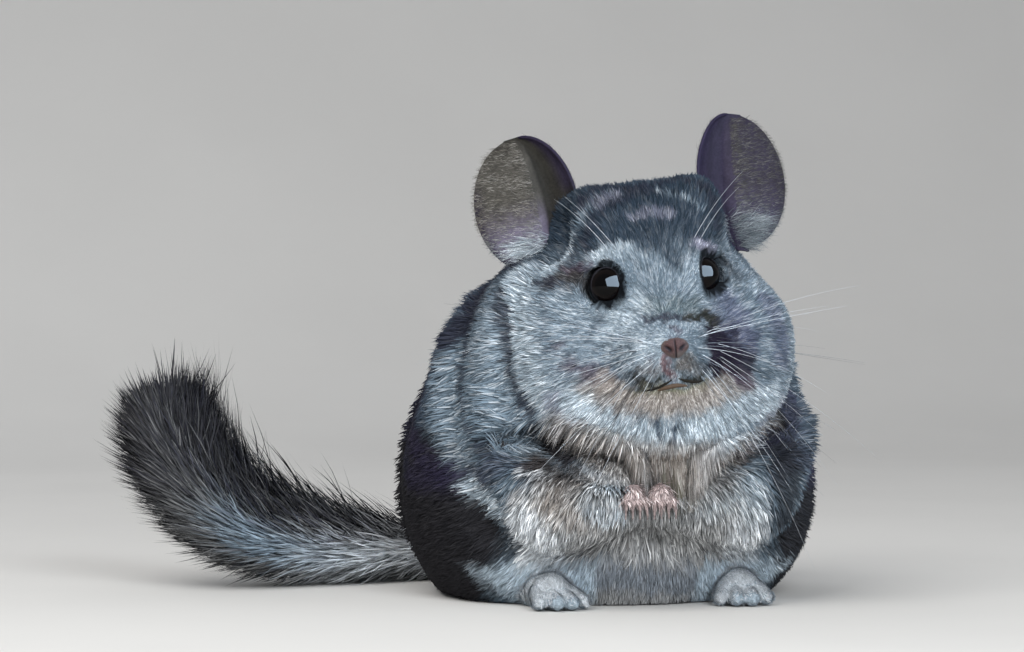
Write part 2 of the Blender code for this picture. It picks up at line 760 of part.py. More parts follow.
def add_lock(path, width, thickness, collection):
    """A flat tapered lock of four-sided rings along a bend, ending in a point, and never below the floor."""
    root, bend, tip = path
    flat = (bend - root).cross(tip - bend)
    flat = flat.normalized() if flat.length > 1e-9 else Vector((0, 1, 0))
    bm = bmesh.new()
    rings = []
    for t, wide in LOCK_RINGS:
        centre = on_path(path, t)
        way = (2 * (1 - t) * (bend - root) + 2 * t * (tip - bend)).normalized()
        a = flat * (width * wide / 2)
        b = way.cross(flat).normalized() * (thickness * (0.3 + 0.7 * wide) / 2)
        centre.z = max(centre.z, abs(a.z) + abs(b.z) - 0.0003)
        rings.append([bm.verts.new(centre + v) for v in (a, b, -a, -b)])
    for low, high in zip(rings, rings[1:]):
        for k in range(4):
            n = (k + 1) % 4
            bm.faces.new((low[k], low[n], high[n], high[k]))
    end = bm.verts.new((tip.x, tip.y, max(tip.z, 0.0006)))
    for k in range(4):
        bm.faces.new((rings[-1][k], rings[-1][(k + 1) % 4], end))
    bm.faces.new(rings[0][::-1])
    bmesh.ops.recalc_face_normals(bm, faces=bm.faces[:])
    bmesh.ops.triangulate(bm, faces=bm.faces[:])
    object_from_bmesh("lock", bm, collection)


def tail_locks(first, last, collection):
    """Rows of locks round a length of the brush, each row turned by half a lock from the last."""
    for row, share in enumerate(LOCK_SHARES):
        draw = np.random.default_rng(40 + row)
        for k in range(LOCKS_ROUND):
            angle = 2 * math.pi * (k + 0.5 * (row % 2)) / LOCKS_ROUND + draw.uniform(-0.18, 0.18)
            length = draw.uniform(0.90, 1.06)
            width = LOCK_WIDTH * draw.uniform(0.85, 1.12)
            if first < share < last:
                add_lock(lock_path(share, angle, length), width, LOCK_THICKNESS, collection)


def brush_parting(share, shift, collection):
    """A closed trumpet that opens as the locks lie, with all of the brush beyond a share in it."""
    way = tail_frame(share)[0]
    steps = (0.12, 0.38, 0.70, 1.0, 1.35)
    bm = bmesh.new()
    loops = []
    for t in steps:
        paths = (lock_path(share, 2 * math.pi * k / 24, 1.0) for k in range(24))
        loops.append([bm.verts.new(on_path(path, t) + way * shift) for path in paths])
    for low, high in zip(loops, loops[1:]):
        for k in range(24):
            n = (k + 1) % 24
            bm.faces.new((low[k], low[n], high[n], high[k]))
    near = bm.verts.new(tail_point(share) + way * shift)
    far = bm.verts.new(tail_point(1.0) + tail_frame(1.0)[0] * 0.09)
    for k in range(24):
        n = (k + 1) % 24
        bm.faces.new((loops[0][n], loops[0][k], near))
        bm.faces.new((loops[-1][k], loops[-1][n], far))
    bmesh.ops.recalc_face_normals(bm, faces=bm.faces[:])
    bmesh.ops.triangulate(bm, faces=bm.faces[:])
    return object_from_bmesh("parting", bm, collection)


def build_brush(first, last, rings, name):
    """A length of the brush: its core and all of its locks as one body."""
    brush = tail_core(first, last, rings, 10, "brush", bpy.data.collections["chinchilla"])
    locks = new_collection("locks")
    tail_locks(first, last, locks)
    boolean(brush, "UNION", locks)
    remove(*list(locks.objects))
    bpy.data.collections.remove(locks)
    slice_off(brush, (0, 0, 0), (0, 0, -1))
    brush.name = name
    return brush


def build_tail(outside, parts, cutters, materials):
    """The short-haired root, and the brush in two lengths."""
    low, high = TAIL_PARTINGS
    root = tail_core(0, low, 9, 14, "root", parts)
    way = tail_frame(low)[0]
    slice_off(root, tail_point(low) - way * GAP, way)
    slice_off(root, (0, 0, 0), (0, 0, -1))
    boolean(root, "DIFFERENCE", outside)
    finish_node(root, "tail_root", materials["tail_root"])
    middle = build_brush(low, high + 0.05, 8, "middle")
    slice_off(middle, tail_point(low), -way)
    beyond = brush_parting(high, 0.0, cutters)
    boolean(middle, "DIFFERENCE", beyond)
    remove(beyond)
    finish_node(middle, "tail_middle", materials["tail_brush"])
    tip = build_brush(high - 0.02, 1, 8, "tip")
    beyond = brush_parting(high, 2 * GAP, cutters)
    boolean(tip, "INTERSECT", beyond)
    remove(beyond)
    finish_node(tip, "tail_tip", materials["tail_brush"])


def main():
    clear_scene()
    parts = new_collection("chinchilla")
    cutters = new_collection("cutters")
    materials = {
        "head": finish_material("head_fur", SILVER_GREY, 0.75),
        "neck": finish_material("neck_fur", SILVER_GREY, 0.75),
        "torso": finish_material("back_fur", BACK_GREY, 0.75),
        "thigh": finish_material("thigh_fur", DARK_FUR, 0.75),
        "foreleg": finish_material("foreleg_fur", WHITE_FUR, 0.75),
        "foot": finish_material("foot_fur", WHITE_FUR, 0.75),
        "paw": finish_material("paw_skin", PINK_SKIN, 0.6),
        "ear": finish_material("ear_skin", EAR_SKIN, 0.6),
        "eye": finish_material("eye_black", EYE_BLACK, 0.05),
        "tail_root": finish_material("tail_grey", SILVER_GREY, 0.75),
        "tail_brush": finish_material("tail_brush", BACK_GREY, 0.75),
    }
    coat = coat_object("coat", 0.0021, cutters)
    head_source = copy_of(coat, "head_source")
    thin_out(head_source, 5700)
    body_source = copy_of(coat, "body_source")
    thin_out(body_source, 2000)
    round_head = swollen(head_source, "round_head", 1.4 * GAP)
    round_body = swollen(body_source, "round_body", 1.4 * GAP)
    build_head(head_source, parts, cutters, materials)
    build_trunk(body_source, parts, cutters, materials)
    for side, word in ((-1, "right"), (1, "left")):
        build_ear(side, word, round_head, parts, materials)
        build_foot(side, word, round_body, parts, materials)
        build_paw(side, word, round_body, parts, materials)
    build_tail(round_body, parts, cutters, materials)
    remove(coat, head_source, body_source, round_head, round_body)


main()
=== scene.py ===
"""The looks of a life-size grey chinchilla: its skin, coat, tail brush, ears, eyes, muzzle, paws and whiskers.

The animal faces -Y, its left side is +X and the floor is z = 0. Sizes are in metres.
"""

import math

import bmesh
import bpy
import numpy as np
from bpy.props import FloatProperty, FloatVectorProperty, IntProperty, PointerProperty
from mathutils import Matrix, Vector
from mathutils.bvhtree import BVHTree


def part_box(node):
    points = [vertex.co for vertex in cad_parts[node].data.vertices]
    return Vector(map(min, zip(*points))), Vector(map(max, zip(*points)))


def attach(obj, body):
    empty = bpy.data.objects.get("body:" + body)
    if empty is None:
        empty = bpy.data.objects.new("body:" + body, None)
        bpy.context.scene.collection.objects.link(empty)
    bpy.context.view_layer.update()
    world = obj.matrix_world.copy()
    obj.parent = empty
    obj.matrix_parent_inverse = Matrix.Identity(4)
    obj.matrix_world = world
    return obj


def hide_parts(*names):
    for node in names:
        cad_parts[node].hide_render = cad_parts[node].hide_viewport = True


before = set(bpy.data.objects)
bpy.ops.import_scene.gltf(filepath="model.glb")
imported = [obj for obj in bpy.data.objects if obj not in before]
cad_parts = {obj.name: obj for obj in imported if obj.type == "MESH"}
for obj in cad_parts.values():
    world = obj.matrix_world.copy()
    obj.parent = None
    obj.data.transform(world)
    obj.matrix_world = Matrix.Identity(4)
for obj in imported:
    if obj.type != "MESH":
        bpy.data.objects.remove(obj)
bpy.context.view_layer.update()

bl_info = {
    "name": "Grey Chinchilla",
    "version": (1, 0, 0),
    "blender": (4, 5, 0),
    "location": "3D View > Sidebar > Chinchilla",
    "description": "Dresses the solids of a sitting chinchilla in skin, coat and whiskers",
    "category": "Object",
}

# Where the head sits and how it turns and leans, as in the solids
HEAD_CENTRE = np.array((0.0033, -0.0420, 0.1240))
HEAD_TURN = Matrix.Rotation(math.radians(-8.0), 3, "Z") @ Matrix.Rotation(math.radians(-6.5), 3, "Y")
HEAD_AXES = np.array(HEAD_TURN)
HEAD_AXIS = np.array((-0.04, -0.66, 0.75)) / np.linalg.norm((-0.04, -0.66, 0.75))
NOSE_TIP = np.array((0.0, -0.0520, -0.0205))

# The photograph's view: what the camera looks at, from where, and its lens and film in millimetres
VIEW_TARGET = (-0.0383, 0.0124, 0.1072)
VIEW_AZIMUTH, VIEW_ELEVATION, VIEW_DISTANCE = math.radians(-14.0), math.radians(1.5), 1.5
VIEW_LENS, VIEW_FILM = 131.8, 36.0

# Small sizes of the pieces
BODY_VOXEL, LIMB_VOXEL = 0.00142, 0.00055
TUFT_PATCH = 0.003
FLOOR_CLEARANCE = 0.0004
GLOBE_RADIUS = 0.00785
SOCKET_RADIUS, FACE_RADIUS = 0.0066, 0.0084
LID_RADIUS, LID_THICKNESS = 0.00775, 0.00026
EAR_HALF_THICKNESS = 0.00058
WHISKER_RADIUS, WHISKER_SUNK = 0.00010, 0.0003

# The tail's bone, the flesh round it and how far its hair stands out above, beside and below
TAIL_LINE = (
    (-0.0050, 0.0700, 0.0180),
    (-0.0300, 0.0860, 0.0125),
    (-0.0610, 0.0810, 0.0115),
    (-0.0880, 0.0740, 0.0120),
    (-0.1140, 0.0680, 0.0150),
    (-0.1350, 0.0640, 0.0210),
    (-0.1500, 0.0615, 0.0310),
    (-0.1620, 0.0600, 0.0450),
    (-0.1690, 0.0590, 0.0580),
    (-0.1720, 0.0580, 0.0690),
)
TAIL_CORE = (0.0078, 0.0078, 0.0076, 0.0072, 0.0070, 0.0068, 0.0062, 0.0055, 0.0042, 0.0020)
REACH_ABOVE = (0.010, 0.012, 0.016, 0.027, 0.034, 0.035, 0.033, 0.030, 0.024, 0.014)
REACH_BESIDE = (0.010, 0.011, 0.013, 0.016, 0.019, 0.021, 0.022, 0.021, 0.018, 0.012)
REACH_BELOW = (0.010, 0.011, 0.011, 0.012, 0.013, 0.016, 0.020, 0.021, 0.019, 0.012)


# Arrays of points


def unit(vectors):
    return vectors / np.maximum(np.linalg.norm(vectors, axis=-1, keepdims=True), 1e-12)


def smooth(x, low, high):
    """0 below low, 1 above high, and the cubic 3t^2 - 2t^3 between them."""
    t = np.clip((x - low) / (high - low), 0, 1)
    return t * t * (3 - 2 * t)


def mixed(a, b, share):
    share = np.asarray(share)[..., None]
    return a * (1 - share) + b * share


def to_head(points):
    return (points - HEAD_CENTRE) @ HEAD_AXES


def from_head(points):
    return points @ HEAD_AXES.T + HEAD_CENTRE


class Waves:
    """A smooth field that never repeats: a sum of sines along random directions, of size about one, and its slope."""

    def __init__(self, size, seed, count=14):
        draw = np.random.default_rng(seed)
        self.ways = unit(draw.normal(size=(count, 3))) * (2 * math.pi / size) * draw.uniform(0.6, 1.5, (count, 1))
        self.phases = draw.uniform(0, 2 * math.pi, count)
        self.gain = math.sqrt(2 / count)

    def value(self, points):
        return np.sin(points @ self.ways.T + self.phases).sum(axis=1) * self.gain

    def slope(self, points):
        return (np.cos(points @ self.ways.T + self.phases) @ self.ways) * self.gain


def in_spot(points, centre, radii, soft=0.4):
    """1 inside an ellipsoid and 0 outside it, falling off over the share soft of its radii."""
    away = np.linalg.norm((points - np.array(centre)) / np.array(radii), axis=1)
    return 1 - smooth(away, 1 - soft, 1 + soft)


def plot(name, points, loops, counts, uv=None, attributes=None, material=None, normals=None):
    """A mesh object from whole arrays: its points, the corners of its faces in a row and how many each face has."""
    mesh = bpy.data.meshes.new(name)
    mesh.vertices.add(len(points))
    mesh.vertices.foreach_set("co", np.ascontiguousarray(points, np.float32).ravel())
    mesh.loops.add(len(loops))
    mesh.loops.foreach_set("vertex_index", np.ascontiguousarray(loops, np.int32))
    starts = np.concatenate([[0], np.cumsum(counts)[:-1]])
    mesh.polygons.add(len(counts))
    mesh.polygons.foreach_set("loop_start", starts.astype(np.int32))
    mesh.polygons.foreach_set("use_smooth", np.ones(len(counts), bool))
    mesh.update(calc_edges=True)
    mesh.validate()
    if uv is not None:
        layer = mesh.uv_layers.new(name="OFBake")
        layer.data.foreach_set("uv", np.ascontiguousarray(uv[loops], np.float32).ravel())
    for key, values in (attributes or {}).items():
        made = mesh.attributes.new(key, "FLOAT_VECTOR", "POINT")
        made.data.foreach_set("vector", np.ascontiguousarray(values, np.float32).ravel())
    if normals is not None:
        mesh.normals_split_custom_set_from_vertices(normals.tolist())
    obj = bpy.data.objects.new(name, mesh)
    bpy.context.scene.collection.objects.link(obj)
    if material:
        mesh.materials.append(material)
    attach(obj, "root")
    return obj


def plot_quads(name, points, quads, material, attributes=None):
    """A mesh object of quads without a map."""
    return plot(name, points.reshape(-1, 3), quads.ravel(), np.full(len(quads), 4), None, attributes, material)


def grid_faces(rows, columns, closed):
    """Corners of the quads of a grid whose columns may join up into a tube."""
    row = np.arange(rows - 1)[:, None]
    column = np.arange(columns if closed else columns - 1)[None, :]
    after = (column + 1) % columns
    quads = np.stack(
        np.broadcast_arrays(
            row * columns + column, row * columns + after, (row + 1) * columns + after, (row + 1) * columns + column
        ),
        axis=-1,
    )
    return quads.reshape(-1, 4)


def mesh_arrays(obj):
    """Points and triangles of an object's mesh with its modifiers."""
    bpy.context.view_layer.update()
    made = obj.evaluated_get(bpy.context.evaluated_depsgraph_get()).to_mesh()
    made.calc_loop_triangles()
    points = np.empty(len(made.vertices) * 3, np.float32)
    triangles = np.empty(len(made.loop_triangles) * 3, np.int32)
    made.vertices.foreach_get("co", points)
    made.loop_triangles.foreach_get("vertices", triangles)
    obj.evaluated_get(bpy.context.evaluated_depsgraph_get()).to_mesh_clear()
    return points.reshape(-1, 3).astype(float), triangles.reshape(-1, 3)


def point_normals(points, triangles):
    """Each point's normal: the sum of the cross products of the triangles that meet there, made one long."""
    a, b, c = (points[triangles[:, k]] for k in range(3))
    face = np.cross(b - a, c - a)
    total = np.zeros_like(points)
    for k in range(3):
        for axis in range(3):
            total[:, axis] += np.bincount(triangles[:, k], face[:, axis], len(points))
    return unit(total)


def relaxed(points, triangles, rounds):
    """Each point moved half of the way to the mean of its neighbours, again and again."""
    pairs = np.concatenate([triangles[:, (0, 1)], triangles[:, (1, 2)], triangles[:, (2, 0)]])
    number = np.bincount(pairs[:, 0], minlength=len(points))[:, None]
    for _ in range(rounds):
        total = np.stack(
            [np.bincount(pairs[:, 0], points[pairs[:, 1], axis], len(points)) for axis in range(3)], axis=1
        )
        points = points * 0.5 + 0.5 * total / np.maximum(number, 1)
    return points


# Materials


class Field:
    """A value that varies over a surface. Arithmetic on it adds the Math nodes it stands for."""

    def __init__(self, finish, socket):
        self.finish, self.socket = finish, socket

    def math(self, operation, *values):
        node = self.finish.node("ShaderNodeMath", {"operation": operation}, dict(enumerate(values)))
        return Field(self.finish, node.outputs[0])

    def __add__(self, other):
        return self.math("ADD", self, other)

    __radd__ = __add__

    def __mul__(self, other):
        return self.math("MULTIPLY", self, other)

    __rmul__ = __mul__

    def __rsub__(self, other):
        return self.math("SUBTRACT", other, self)

    def step(self, low, high, to_low=0.0, to_high=1.0):
        """Smoothly from to_low to to_high as the value goes from low to high."""
        values = {0: self, 1: low, 2: high, 3: to_low, 4: to_high}
        node = self.finish.node("ShaderNodeMapRange", {"interpolation_type": "SMOOTHSTEP"}, values)
        return Field(self.finish, node.outputs[0])


class Finish:
    """A material under construction."""

    def __init__(self, name, **constants):
        self.material = bpy.data.materials.new(name)
        self.material.use_nodes = True
        self.tree = self.material.node_tree
        self.shader = self.tree.nodes["Principled BSDF"]
        for key, value in constants.items():
            self.shader.inputs[key.replace("_", " ")].default_value = value

    def node(self, kind, settings=None, inputs=None):
        """One node: its settings are made first, then each socket gets its value or link."""
        made = self.tree.nodes.new(kind)
        for key, value in (settings or {}).items():
            setattr(made, key, value)
        for key, value in (inputs or {}).items():
            if isinstance(value, Field):
                self.tree.links.new(value.socket, made.inputs[key])
            else:
                made.inputs[key].default_value = value
        return made

    def read(self, name, part=None):
        """An attribute of the piece, or one of its three parts."""
        made = self.node("ShaderNodeAttribute", {"attribute_name": name})
        vector = Field(self, made.outputs["Vector"])
        if part is None:
            return vector
        return Field(self, self.node("ShaderNodeSeparateXYZ", None, {0: vector}).outputs[part])

    def place(self):
        """Object coordinates."""
        return Field(self, self.node("ShaderNodeTexCoord").outputs["Object"])

    def noise(self, size, where, detail=2.0):
        inputs = {"Vector": where, "Scale": size, "Detail": detail}
        return Field(self, self.node("ShaderNodeTexNoise", None, inputs).outputs[0])

    def mix(self, share, a, b, how="MIX"):
        """Colour a, then colour b as share goes from 0 to 1."""
        a, b = ((*x, 1.0) if isinstance(x, tuple) and len(x) == 3 else x for x in (a, b))
        settings = {"data_type": "RGBA", "blend_type": how}
        return Field(self, self.node("ShaderNodeMix", settings, {0: share, 6: a, 7: b}).outputs[2])

    def bump(self, height, distance, strength=1.0):
        inputs = {"Height": height, "Distance": distance, "Strength": strength}
        self.shade("Normal", Field(self, self.node("ShaderNodeBump", None, inputs).outputs[0]))

    def shade(self, name, field):
        self.tree.links.new(field.socket, self.shader.inputs[name])


def coat_finish(name, root_depth=0.34, tip_dark=0.55):
    """Hair dark at the root and paler towards the tip, each tuft a little lighter or darker, some with a black tip."""
    made = Finish(name, Roughness=0.75, Specular_IOR_Level=0.03)
    along, lot, tone = (made.read("hair", part) for part in range(3))
    shade = made.read("shade")
    grown = along.step(0.0, 0.62, root_depth, 1.0)
    tick = (1 - lot).step(0.60, 0.70) * along.step(0.50, 0.95)
    light = grown * tone * (1 - tick * tip_dark)
    made.shade("Base Color", made.mix(1.0, shade, grey(made, light), "MULTIPLY"))
    return made.material


def grey(finish, value):
    """A number as a grey colour."""
    return Field(finish, finish.node("ShaderNodeCombineXYZ", None, {0: value, 1: value, 2: value}).outputs[0])


def skin_finish():
    """The short dense underfur: the coat's own markings in shade, with a fine streaked bump."""
    made = Finish("underfur", Roughness=0.85, Specular_IOR_Level=0.03)
    grain = made.noise(900.0, made.place(), 3.0)
    light = grey(made, grain.step(0.2, 0.8, 0.30, 0.75))
    made.shade("Base Color", made.mix(1.0, made.read("shade"), light, "MULTIPLY"))
    made.bump(grain, 0.0006, 0.6)
    return made.material


# The markings and painted shade, shared by the skin and the coat


def tint(red, green, blue):
    """A colour given in screen values as the light it stands for."""
    value = np.array((red, green, blue)) / 255
    return tuple(np.where(value > 0.04045, ((value + 0.055) / 1.055) ** 2.4, value / 12.92).round(4))


# Strokes of colour in millimetres: colour, strength, half width, softness of the edge, whether the other side
# has it too, and the line it runs along, on the body as it stands and on the head as seen from its own centre
BODY_MARKS = (
    # Dark fur behind the neck's rings, partly painted shade
    ("night", 0.92, 6.5, 0.45, 1, ((-48, -23, 134), (-52, -7, 125), (-66, -21, 111), (-75, -10, 97), (-76, 14, 80),
     (-77, 30, 65), (-83, 12, 53))),
    ("mist", 0.8, 6, 0.6, 1, ((-50, -38, 131), (-52, -46, 119), (-52, -54, 104), (-50, -59, 90), (-46, -62, 81),
     (-39, -68, 76))),
    ("silver", 0.6, 6, 0.6, 1, ((-60, -43, 112), (-64, -43, 95), (-62, -48, 82), (-58, -56, 71), (-50, -56, 61))),
    ("silver", 0.55, 5.6, 0.6, 1, ((-75, -22, 93), (-76, -23, 80), (-74, -30, 64), (-69, -40, 52))),
    # Painted shade in the grooves between the neck's rings and where they meet the ruff
    ("night", 0.85, 2.6, 0.7, 1, ((-57, -39, 122), (-57, -48, 105), (-56, -49, 95), (-54, -52, 84), (-50, -57, 75),
     (-40, -47, 66))),
    ("night", 0.95, 3.2, 0.6, 1, ((-40, -47, 66), (-37, -57, 61), (-33, -65, 56))),
    ("night", 0.8, 2, 0.8, 1, ((-68, -25, 105), (-70, -29, 89), (-69, -34, 76), (-67, -46, 64), (-64, -51, 58))),
    ("violet", 0.7, 5, 0.6, 1, ((-81, 10, 65), (-81, -15, 57), (-76, -29, 52))),
    ("violet", 0.6, 5, 0.9, 1, ((-83, 2, 49), (-78, -25, 49), (-68, -41, 50), (-61, -55, 55))),
    ("violet", 0.6, 4, 0.6, 1, ((-54, -63, 56), (-47, -68, 52))),
    ("frost", 0.7, 4, 0.6, 1, ((-70, -40, 46), (-64, -45, 42), (-59, -49, 37))),
    ("lilac", 0.6, 4.5, 0.7, 1, ((-42, -66, 80), (-37, -69, 75))),
    ("beige", 0.7, 6, 0.6, 0, ((-30, -74, 84), (-17, -80, 81), (-4, -86, 80), (12, -86, 81), (27, -84, 86))),
    ("frost", 0.9, 5.6, 0.5, 0, ((-36, -71, 79), (-29, -74, 74), (-20, -77, 69), (-11, -80, 66), (-2, -81, 63),
     (8, -84, 67), (18, -85, 71), (29, -84, 77), (42, -79, 81))),
    ("beige", 0.85, 5.2, 0.5, 0, ((-34, -46, 67), (-28, -55, 62), (-22, -63, 58), (-9, -71, 54), (4, -76, 53),
     (21, -66, 57), (37, -58, 63))),
    ("lilac", 0.7, 4, 0.6, 0, ((33, -59, 62), (43, -53, 66), (49, -54, 70))),
    ("slate", 0.9, 0.9, 0.8, 0, ((-7, -84, 75), (-5, -83, 70), (-3, -82, 65))),
    ("slate", 0.9, 1, 0.8, 0, ((1, -84, 71), (1, -82, 64), (0, -78, 58))),
    ("slate", 0.8, 0.7, 0.8, 0, ((10, -82, 63), (13, -79, 59))),
    ("slate", 0.7, 0.7, 0.8, 0, ((-10, -75, 58), (-8, -73, 52))),
    # Painted shadow under the lower edge of the chin's ruff, and painted shade round the arms beneath it
    ("soot", 0.95, 2.8, 0.7, 0, ((-41, -52, 64), (-37, -59, 59), (-34, -67, 55), (-28, -75, 51), (-20, -79, 47),
     (-15, -84, 43))),
    ("soot", 0.95, 1.9, 0.7, 0, ((19, -74, 51), (30, -70, 55), (41, -63, 60), (51, -55, 65))),
    ("umber", 0.6, 1.6, 0.8, 0, ((-10, -75, 49), (-2, -81, 48), (9, -77, 48), (19, -74, 51))),
    ("umber", 0.95, 7, 0.6, 0, ((-47, -62, 57), (-42, -71, 50), (-35, -75, 46), (-27, -79, 44))),
    ("beige", 0.8, 6, 0.6, 0, ((-54, -63, 40), (-46, -70, 39), (-36, -75, 38), (-26, -77, 36))),
    ("frost", 0.95, 5.2, 0.5, 0, ((-29, -78, 41), (-24, -78, 38), (-19, -83, 36))),
    ("mist", 0.9, 6, 0.6, 0, ((16, -77, 41), (24, -75, 44), (34, -72, 48), (35, -73, 42), (33, -71, 33))),
    ("beige", 0.7, 4, 0.6, 0, ((2, -83, 44), (13, -77, 46), (23, -74, 50))),
    ("olive", 0.6, 4, 0.8, 0, ((3, -78, 44), (1, -83, 39))),
    ("ash", 0.9, 14, 0.5, 0, ((-21, -57, 24), (-5, -59, 27), (14, -61, 27), (23, -64, 26))),
    ("chalk", 0.95, 8, 0.5, 0, ((-53, -61, 35), (-47, -51, 24), (-42, -44, 14), (-41, -54, 9))),
    ("chalk", 0.9, 6.5, 0.7, 0, ((-44, -64, 28), (-37, -47, 15))),
    ("chalk", 0.8, 7, 0.7, 0, ((34, -68, 28), (40, -45, 14), (35, -54, 8))),
    ("steel", 0.6, 6, 0.7, 0, ((-30, -47, 11), (-16, -53, 12), (4, -53, 10), (27, -46, 8))),
    ("umber", 0.7, 0.9, 0.9, 0, ((-9, -60, 28), (-9, -57, 22))),
    # Painted shade down the side turned from the light, with the dark fur of the haunch
    ("violet", 0.85, 8, 0.6, 0, ((61, -40, 82), (57, -54, 70), (53, -60, 61))),
    ("soot", 0.85, 7, 0.5, 0, ((55, -60, 60), (51, -66, 49), (51, -65, 35))),
)
